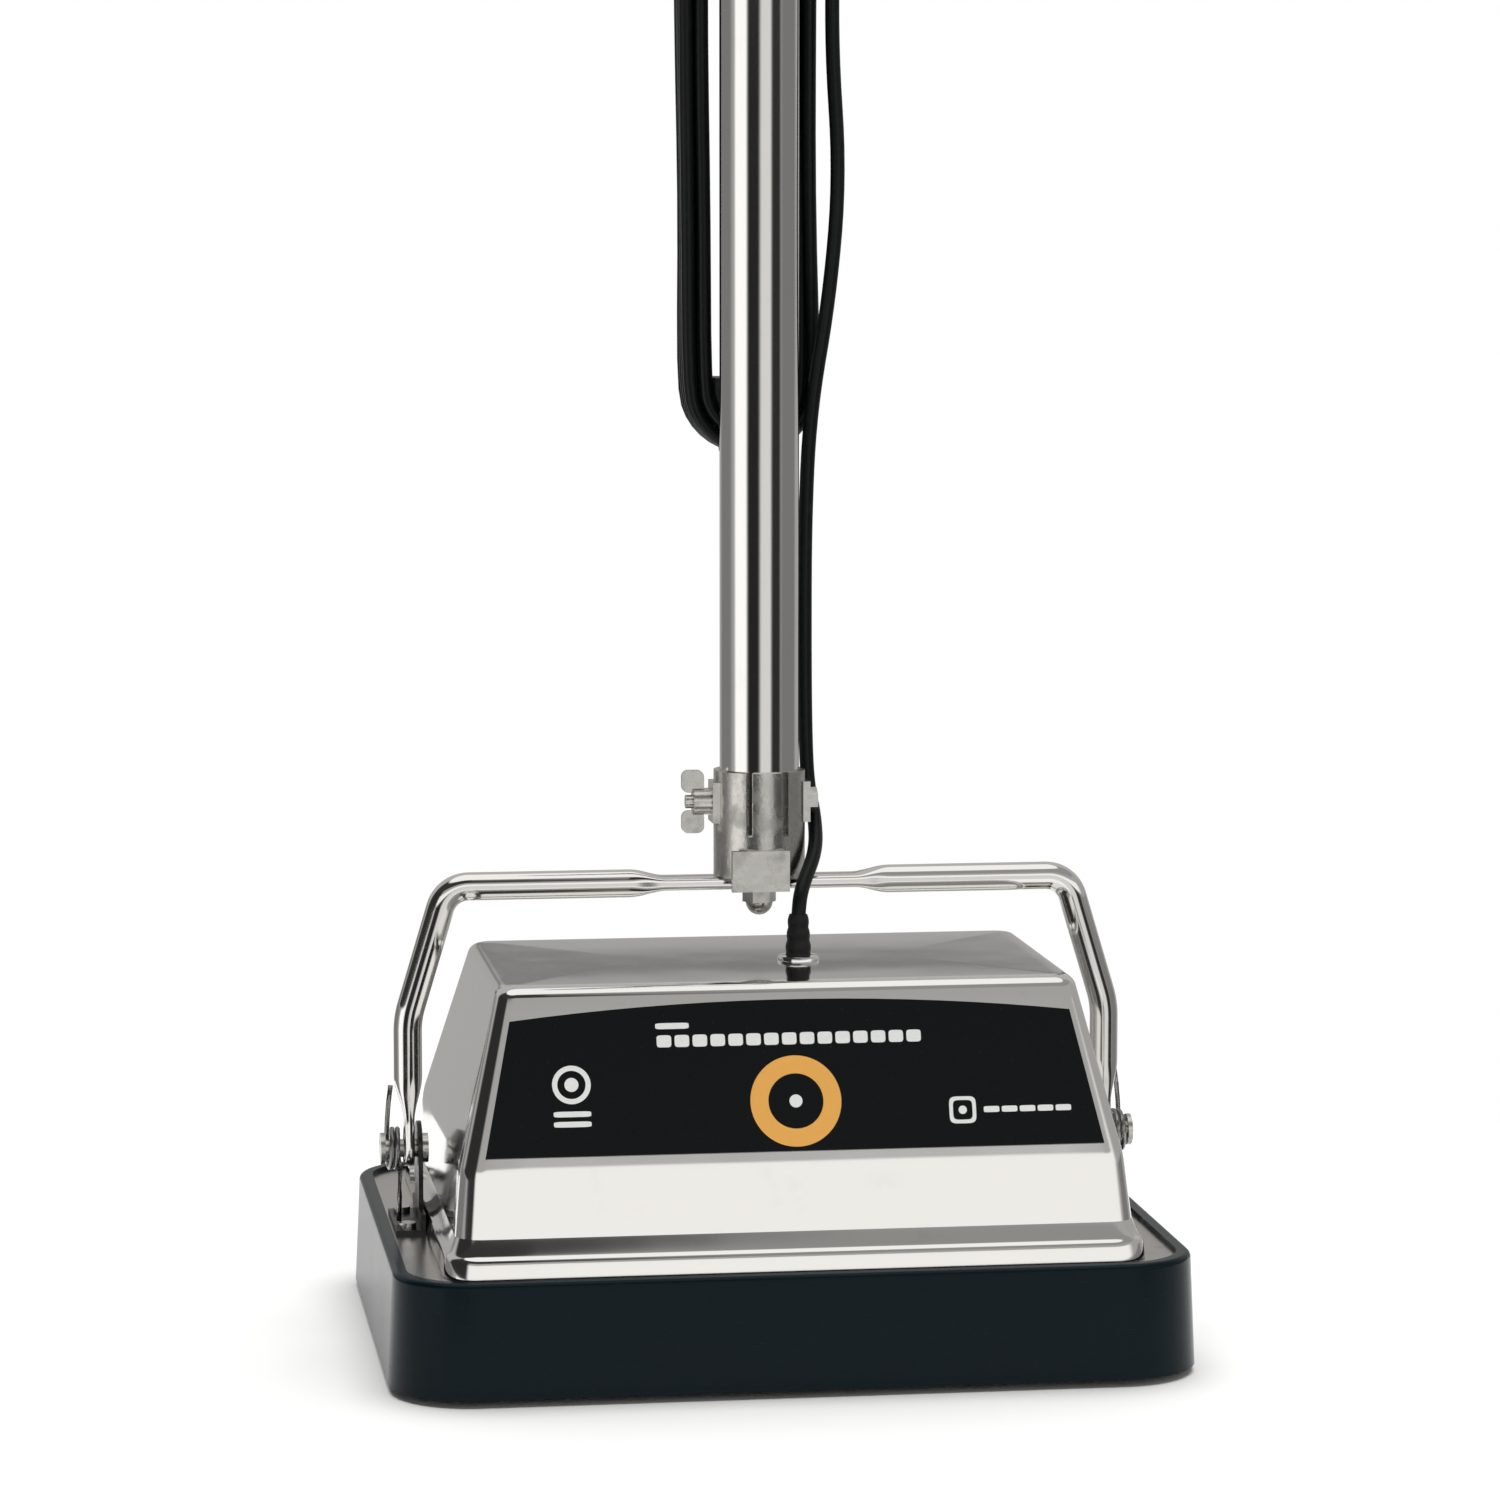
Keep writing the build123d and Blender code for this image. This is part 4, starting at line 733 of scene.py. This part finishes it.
# the foot's points are steps from the coil's inner end in X, then places in Y and Z; the leg's are places
spring = {"x": 0.1655, "pitch": 0.00235, "turns": 2.25, "radius": 0.0086, "wire": 0.0011, "sides": 10,
          "foot": [(0.0005, -0.0040, 0.0735), (0.0010, -0.0085, 0.0640), (0.0015, -0.0110, 0.0535)],
          "leg": [(0.1655, 0.0086, 0.0835), (0.1655, 0.0087, 0.0900), (0.1652, 0.0089, 0.0960),
                  (0.1646, 0.0092, 0.1030), (0.1636, 0.0095, 0.1105)]}
tube = {"radius": 0.0175, "wall": 0.0015, "ease": 0.0004, "sides": 96,
        "spans": (("lowerTube", "lower_tube", 0.210, 0.640), ("upperTube", "upper_tube", 0.640, 1.030))}
# one end of the collar as (radius, distance from that end): an eased edge, then a fine groove
collar = {"low": 0.624, "high": 0.656,
          "end": [(0.0176, 0), (0.0185, 0), (0.0192, 0.0004), (0.0195, 0.0012), (0.0195, 0.0060),
                  (0.0189, 0.0070), (0.0195, 0.0080)]}


def bentPath(corners, radii, spacing):
    # straight stretches and arcs: each arc starts radius x tan(half the turn) before its corner
    corners = [np.array(c, float) for c in corners]
    places = []
    start = corners[0]

    def straight(a, b):
        count = max(2, int(np.linalg.norm(b - a) / spacing))
        places.append(a + np.linspace(0, 1, count, endpoint=False)[:, None] * (b - a))

    for before, corner, after, radius in zip(corners, corners[1:], corners[2:], radii):
        into, out = unit(corner - before), unit(after - corner)
        angle = math.acos(float(into @ out))
        reach = radius * math.tan(angle / 2)
        straight(start, corner - into * reach)
        centre = corner + unit(out - into) * radius / math.cos(angle / 2)
        first, last = corner - into * reach - centre, corner + out * reach - centre
        share = np.linspace(0, 1, 12, endpoint=False)[:, None]
        arms = (np.sin((1 - share) * angle) * first + np.sin(share * angle) * last) / math.sin(angle)
        places.append(centre + arms)
        start = corner + out * reach
    straight(start, corners[-1])
    places.append(corners[-1][None])
    return np.concatenate(places)


def makeBail():
    # a tube whose two half-axes change along it: a tongue at each end, a flat at the middle
    x, low, bend, topX, top = [bail[k] for k in ("x", "low", "bend", "topX", "top")]
    half = [(x, 0, low), (x, 0, bend), (topX, 0, top)]
    path = bentPath(half + [(-x, y, z) for x, y, z in reversed(half)], bail["bends"], 0.0016)
    z = path[:, 2]
    tongue = 1 - smoothStep(*bail["tongueEnds"], z)
    middle = 1 - smoothStep(*bail["flatEnds"], np.abs(path[:, 0]))
    thick, wide = [bail["tube"] + tongue * (end - bail["tube"]) + middle * (flat - bail["tube"])
                   for end, flat in zip(bail["tongue"], bail["flat"])]
    # below the pivot the tongue's width follows a circle about it
    below = (bail["pivot"] - np.minimum(z, bail["pivot"])) / bail["tongue"][1]
    wide = wide * np.sqrt(np.clip(1 - below ** 2, 0.02, 1))
    rings = sweep(path, wide, thick, (0, 1, 0), 28, 2 + 2.5 * np.maximum(tongue, middle))
    piece = faceOut(makePiece("bailTube", *ringSkin(rings)))
    return place(piece, "handle", finishes["polished_steel"], "polished_steel", "bail")


def springWire(name, path, reference):
    rings = sweep(path, spring["wire"], spring["wire"], reference, spring["sides"])
    return faceOut(makePiece(name, *ringSkin(rings)))


def makeSprings():
    # a helix about the pivot, its angle growing with the distance along X, and a foot on its inner end; the
    # upper leg is a piece of its own, as it moves with the handle
    turn = 2 * np.pi * np.linspace(0, spring["turns"], 60)
    x = spring["x"] - spring["pitch"] * turn / (2 * np.pi)
    y, z = spring["radius"] * np.cos(turn), bail["pivot"] - spring["radius"] * np.sin(turn)
    foot = np.array(spring["foot"]) + (x[-1], 0, 0)
    for side, name in ((-1, "left"), (1, "right")):
        mirror = np.array([side, 1, 1])
        path = np.concatenate([np.column_stack([x, y, z]), foot]) * mirror
        fromPivot = (path - (0, 0, bail["pivot"])) * (0, 1, 1)
        place(springWire(name + "TiltCoil", path, fromPivot), "base", finishes["spring_steel"],
              "spring_steel", "tilt_springs")
        place(springWire(name + "TiltLeg", np.array(spring["leg"]) * mirror, (1, 0, 0)), "handle",
              finishes["spring_steel"], "spring_steel")


def makeTubes():
    radius, ease, inner = tube["radius"], tube["ease"], tube["radius"] - tube["wall"]
    for name, node, low, high in tube["spans"]:
        outline = [(inner, low), (radius - ease, low), (radius, low + ease), (radius, high - ease),
                   (radius - ease, high), (inner, high)]
        piece = softenEdges(turnedRing(name, outline, (0, 0), tube["sides"]), 40)
        place(piece, "handle", finishes["polished_steel"], "polished_steel", node)
    outline = [(r, collar["low"] + d) for r, d in collar["end"]]
    outline += [(r, collar["high"] - d) for r, d in reversed(collar["end"])]
    piece = softenEdges(turnedRing("jointCollar", outline, (0, 0), tube["sides"]), 40)
    place(piece, "handle", finishes["polished_steel"], "polished_steel", "tube_ferrule")


makeBail()
makeSprings()
makeTubes()
print("bail, springs and tubes made")


# ---- brushes

# "rings" is the first and last ring's radius and how many there are; "twist" turns each ring a little
# further than the one inside it
tufts = {"centreX": 0.078, "rings": (0.0265, 0.0712, 9), "spacing": 0.0058, "twist": 0.4, "sides": 6,
         "heights": (0.0124, 0.0085, 0.0042, 0.0002), "root": 0.0020, "tip": 0.0027, "flare": 1.5,
         "lean": 0.0007}


def makeBristles():
    # tufts on rings: each is a short flared bundle, its tip a little off its root; all worked out together
    height = np.array(tufts["heights"])
    rows, sides = len(height), tufts["sides"]
    share = 1 - height / height[0]
    girth = tufts["root"] + (tufts["tip"] - tufts["root"]) * share ** tufts["flare"]
    turn = np.linspace(0, 2 * np.pi, sides, endpoint=False)
    ring = girth[:, None, None] * np.stack([np.cos(turn), np.sin(turn)], axis=-1)
    radii = np.linspace(*tufts["rings"])
    counts = (2 * np.pi * radii / tufts["spacing"]).astype(int)
    radius = np.repeat(radii, counts)
    angle = np.concatenate([2 * np.pi * np.arange(n) / n + tufts["twist"] * k
                            for k, n in enumerate(counts)])
    for side, name in ((-1, "left"), (1, "right")):
        root = np.column_stack([side * tufts["centreX"] + radius * np.cos(angle), radius * np.sin(angle)])
        lean = tufts["lean"] * rng.standard_normal(root.shape)
        flat = (root[:, None] + lean[:, None] * share[:, None])[:, :, None] + ring
        z = np.broadcast_to(height[:, None], flat.shape[:3])[..., None]
        firsts = np.arange(len(root)) * rows * sides
        faces = (np.array(loopFaces(rows, sides)) + firsts[:, None, None]).reshape(-1, 4)[:, ::-1].tolist()
        faces += (firsts[:, None] + (rows - 1) * sides + np.arange(sides)[::-1]).tolist()
        faces += (firsts[:, None] + np.arange(sides)).tolist()
        piece = faceOut(makePiece(name + "Tufts", np.concatenate([flat, z], axis=-1), faces))
        place(piece, name + "_brush", finishes["bristle_fibre"], "bristle_fibre", name + "_bristles")


makeBristles()
print("brushes made")


# ---- grip, strain reliefs and plug

# "neck" is (depth, place along the grip, length); "scallops" start at a place and have a depth and a pitch
grip = {"radius": 0.022, "low": 0.985, "corner": (0, 0, 1.062), "end": (0, 0.062, 1.113), "sweep": 0.045,
        "cap": 0.0212, "leastEnd": 0.004, "neck": (0.0012, 0.060, 0.018), "foot": (0.05, 0.0012),
        "seam": 0.0004, "seamWidth": 0.05, "scallops": (0.094, 0.0011, 0.0185),
        "fingerStart": (0.085, 0.100), "fingerEnd": (0.012, 0.030)}
# the block behind the grip that takes the reliefs, as (z, how far its corners are drawn in)
lug = {"shiftX": 0.012, "half": 0.021, "front": 0.008, "back": 0.033, "corner": 0.0075,
       "rows": [(0.9852, 0.0016), (0.9856, 0.0006), (0.9870, 0.0001), (0.9900, 0), (1.0060, 0),
                (1.0092, 0.0006), (1.0106, 0.0018), (1.0110, 0.0040)]}
# up the switch plate's outer wall, over its rim, across and down into the slot: (y, half width, half
# height, corner radius)
plate = {"middleZ": 1.026,
         "rows": [(-0.0190, 0.0130, 0.0310, 0.0070), (-0.0248, 0.0130, 0.0310, 0.0070),
                  (-0.0256, 0.0126, 0.0306, 0.0066), (-0.0260, 0.0118, 0.0298, 0.0058),
                  (-0.0260, 0.0052, 0.0229, 0.0030), (-0.0257, 0.0046, 0.0223, 0.0026),
                  (-0.0252, 0.0043, 0.0220, 0.0024), (-0.0195, 0.0043, 0.0220, 0.0024)]}
relief = {"low": 0.9552, "high": 0.9870, "tip": 0.0043, "root": 0.0064, "ribs": 6, "gap": 0.0001,
          "ribHeight": 0.00045, "valley": 0.0004,
          "places": (("mainsRelief", "mains_relief", (-0.001, 0.026)),
                     ("leadRelief", "lead_relief", (0.024, 0.020)))}
leadExit = {"at": (0.013, -0.030), "low": 0.1665, "high": 0.1890, "root": 0.0062, "tip": 0.0044, "ribs": 4,
            "washer": [(0.0033, 0.1680), (0.0092, 0.1680), (0.0092, 0.1702), (0.0086, 0.1710),
                       (0.0068, 0.1712), (0.0033, 0.1712)]}
# down the plug as (z, half width, half depth): a ribbed neck, shoulders, a waisted body and a rounded face
plug = {"x": -0.017, "y": 0.058, "squareAt": (0, 6, 10, 17), "square": (2, 2, 3.4, 3.8),
        "rows": [(0.7660, 0.0036, 0.0036), (0.7655, 0.0044, 0.0044), (0.7640, 0.0046, 0.0046),
                 (0.7620, 0.0054, 0.0054), (0.7600, 0.0050, 0.0050), (0.7580, 0.0061, 0.0060),
                 (0.7560, 0.0058, 0.0057), (0.7535, 0.0076, 0.0069), (0.7510, 0.0102, 0.0077),
                 (0.7480, 0.0122, 0.0083), (0.7450, 0.0129, 0.0085), (0.7410, 0.0126, 0.0082),
                 (0.7360, 0.0121, 0.0078), (0.7310, 0.0125, 0.0082), (0.7270, 0.0129, 0.0085),
                 (0.7235, 0.0128, 0.0084), (0.7218, 0.0122, 0.0080), (0.7210, 0.0110, 0.0070)]}


def hump(values, middle, width):
    return np.exp(-((values - middle) / width) ** 2)


def lugRings():
    z, pull = np.array(lug["rows"]).T
    rings = roundedRings(loopColumns(6, 4), lug["half"] - pull, lug["front"] + pull, lug["back"] - pull,
                         lug["corner"] - pull, z)
    return rings + (lug["shiftX"], 0, 0)


def makeGrip():
    # a sleeve that sweeps back: narrower at the neck, scalloped under the fingers and rounded at the end;
    # each half is the part of each ring on its own side, closed along the parting face
    corner, end = np.array(grip["corner"]), np.array(grip["end"])
    beyond = end + unit(end - corner) * grip["cap"]
    path = bentPath([(0, 0, grip["low"]), corner, beyond], [grip["sweep"]], 0.0022)
    along = np.concatenate([[0], np.cumsum(np.linalg.norm(np.diff(path, axis=0), axis=1))])
    left = along[-1] - along
    neck, foot, scallops = grip["neck"], grip["foot"], grip["scallops"]
    radius = grip["radius"] - neck[0] * hump(along, neck[1], neck[2])
    dome = 1 - (1 - np.minimum(left / grip["cap"], 1)) ** 2
    radius = radius * np.sqrt(np.clip(dome, grip["leastEnd"], 1))
    radius = radius * (1 - foot[0] * np.exp(-along / foot[1]))
    fingers = smoothStep(*grip["fingerStart"], along) * smoothStep(*grip["fingerEnd"], left)
    wave = 0.5 + 0.5 * np.cos(2 * np.pi * (along - scallops[0]) / scallops[2])
    depth = np.cross(unit(np.gradient(path, axis=0)), (1, 0, 0))
    for side, name in ((-1, "left"), (1, "right")):
        turn = np.radians(np.linspace(-90, 90, 33)) + (0 if side > 0 else np.pi)
        groove = grip["seam"] * hump(np.abs(np.cos(turn)), 0, grip["seamWidth"])
        under = np.clip(np.sin(turn), 0, 1) ** 2
        reach = radius[:, None] - groove - (scallops[1] * fingers * wave)[:, None] * under
        rings = path[:, None] + (reach * np.sin(turn))[..., None] * depth[:, None]
        rings[..., 0] += reach * np.cos(turn)
        skins = [ringSkin(rings)]
        if side > 0:
            skins.append(ringSkin(lugRings()))
        piece = softenEdges(makePiece(name + "GripHalf", *joinSkins(skins)), 50)
        place(faceOut(piece), "handle", finishes["black_plastic"], "black_plastic", name + "_grip_half")


def makeSwitchPlate():
    # rings lying flat, then stood up so that their height is along Z
    y, half, tall, corner = np.array(plate["rows"]).T
    rings = roundedRings(loopColumns(6, 4), half, -tall, tall, corner, y)
    rings = rings[..., [0, 2, 1]] + (0, 0, plate["middleZ"])
    piece = faceOut(makePiece("switchPlate", *closedRings(rings)))
    place(softenEdges(piece, 50), "handle", finishes["black_plastic"], "black_plastic")


def ribbedSleeve(name, at, low, high, bottomRadius, topRadius, ribs):
    # a tapered sleeve with rounded ribs: radius straight from end to end, plus a raised cosine for each rib
    bore = cord["radius"] + relief["gap"]
    z = np.linspace(low, high, 12 * ribs)
    share = (z - low) / (high - low)
    bulge = relief["ribHeight"] * (0.5 - 0.5 * np.cos(2 * np.pi * ribs * share)) ** 0.6
    radius = bottomRadius + (topRadius - bottomRadius) * share + bulge - relief["valley"]
    outline = [(bore, low)] + list(zip(radius.tolist(), z.tolist())) + [(bore, high)]
    return softenEdges(turnedRing(name, outline, at, 36), 60)


def makeReliefs():
    for name, node, at in relief["places"]:
        piece = ribbedSleeve(name, at, *[relief[k] for k in ("low", "high", "tip", "root", "ribs")])
        place(piece, "handle", finishes["black_rubber"], "black_rubber", node)
    washer = softenEdges(turnedRing("leadWasher", leadExit["washer"], leadExit["at"], 48), 40)
    place(washer, "base", finishes["polished_steel"], "polished_steel")
    sizes = [leadExit[k] for k in ("low", "high", "root", "tip", "ribs")]
    sleeve = ribbedSleeve("leadGrommet", leadExit["at"], *sizes)
    place(sleeve, "base", finishes["black_rubber"], "black_rubber", "hood_grommet")


def makePlug():
    z, half, deep = np.array(plug["rows"]).T
    path = np.column_stack([np.full(len(z), plug["x"]), np.full(len(z), plug["y"]), z])
    power = np.interp(np.arange(len(z)), plug["squareAt"], plug["square"])
    piece = faceOut(makePiece("mainsPlug", *ringSkin(sweep(path, half, deep, (1, 0, 0), 40, power))))
    return place(softenEdges(piece, 60), "handle", finishes["black_rubber"], "black_rubber", "plug")


makeGrip()
makeSwitchPlate()
makeReliefs()
mainsPlug = makePlug()
print("grip, reliefs and plug made")


# ---- finishes of the frame's own nodes

def dressNodes():
    # every node that no piece stands for gets the finish its record names; the two wooden blocks differ
    replaced = {n for o in bpy.data.objects for n in o.get("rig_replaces", [])}
    slots = {row["node"]: row["material_slot"] for row in frame["record"]["subparts"]}
    beech = {side: turnedBeech(side + "Beech", x) for side, x in (("left", -0.078), ("right", 0.078))}
    for name, node in frame["nodes"].items():
        if name not in replaced:
            wooden = slots[name] == "brush_wood"
            node.data.materials.clear()
            node.data.materials.append(beech[name.split("_")[0]] if wooden else finishes[slots[name]])


dressNodes()


# ---- floor and light

studio = {"floor": 0.64, "floorMiddle": 0.02, "floorZ": -0.0002, "sun": 2.1, "sunAngle": 60,
          "sunTilt": (-9, 3, 0), "base": 0.42, "warmth": rgb(1.0, 0.988, 0.965), "sineSoft": 0.01}
# patches of the surroundings: (azimuth from the front, half width, soft edge, sine low, sine high, level)
patches = [
    (-125, 28, 8, -1.5, 0.10, 0.22), (-64, 19, 5, -1.5, 0.10, 1.25), (-25, 17, 5, -1.5, 0.10, 0.02),
    (11, 15, 4, -1.5, 0.10, 0.80), (42, 14, 5, -1.5, 0.10, 0.03), (88, 30, 8, -1.5, 0.10, 0.22),
    (10, 60, 12, 0.13, 0.40, 1.08), (10, 100, 12, 0.42, 0.55, 0.44), (-82, 36, 6, 0.12, 0.60, 0.03),
    (70, 60.5, 2, 0.58, 0.86, 0.33), (-55, 64.5, 2, 0.58, 0.86, 0.04), (180, 60, 12, 0.20, 0.86, 0.52),
    (180, 45, 8, 0.145, 0.170, 0.12), (0, 400, 1, 0.88, 1.5, 1.10),
]


def makeFloor():
    # a flat disc in rings about the middle, left open at a spot under the machine
    radius = np.linspace(studio["floor"], studio["floorMiddle"], 12)[:, None]
    turn = np.linspace(0, 2 * np.pi, 72, endpoint=False)
    x, y = radius * np.cos(turn), radius * np.sin(turn)
    rings = np.stack([x, y, np.full_like(x, studio["floorZ"])], axis=-1)
    floor = makePiece("floor", *ringSkin(rings, caps=False))
    floor.data.materials.append(paleFloor())


def makeStudio():
    # a wrap of light by direction: azimuth from the front, elevation by the sine of the angle; the camera
    # itself sees plain white
    world = bpy.data.worlds.new("studio")
    bpy.context.scene.world = world
    kit = Kit(world)
    direction = kit.add("ShaderNodeTexCoord", None, None, "Generated")
    parts = kit.node("ShaderNodeSeparateXYZ", None, {"Vector": direction})
    x, y, z = (Wire(kit, parts.outputs[k]) for k in range(3))
    azimuth = kit.maths("ARCTAN2", x, 0 - y) * (180 / math.pi)
    level = z * 0 + studio["base"]
    soft = studio["sineSoft"]
    for centre, half, edge, low, high, shade in patches:
        # the shorter way round from the patch's centre
        away = 180 - kit.maths("ABSOLUTE", kit.maths("ABSOLUTE", azimuth - centre) - 180)
        across = 1 - kit.step(away, half - edge, half + edge)
        within = kit.step(z, low - soft, low + soft) * (1 - kit.step(z, high - soft, high + soft))
        level = level + across * within * (shade - level)
    seen = kit.add("ShaderNodeLightPath", None, None, "Is Camera Ray")
    level = level + seen * (1.0 - level)
    tint = kit.mix(seen, studio["warmth"], rgb(1, 1, 1))
    light = kit.add("ShaderNodeBackground", None, {"Color": tint, "Strength": level})
    kit.node("ShaderNodeOutputWorld", None, {"Surface": light})
    sunData = bpy.data.lights.new("overhead", "SUN")
    sunData.energy = studio["sun"]
    sunData.angle = math.radians(studio["sunAngle"])
    sun = bpy.data.objects.new("overhead", sunData)
    sun.rotation_euler = [math.radians(a) for a in studio["sunTilt"]]
    sun.visible_glossy = False
    bpy.context.scene.collection.objects.link(sun)


makeFloor()
makeStudio()
bpy.context.scene.view_settings.view_transform = "Standard"
print("studio made")
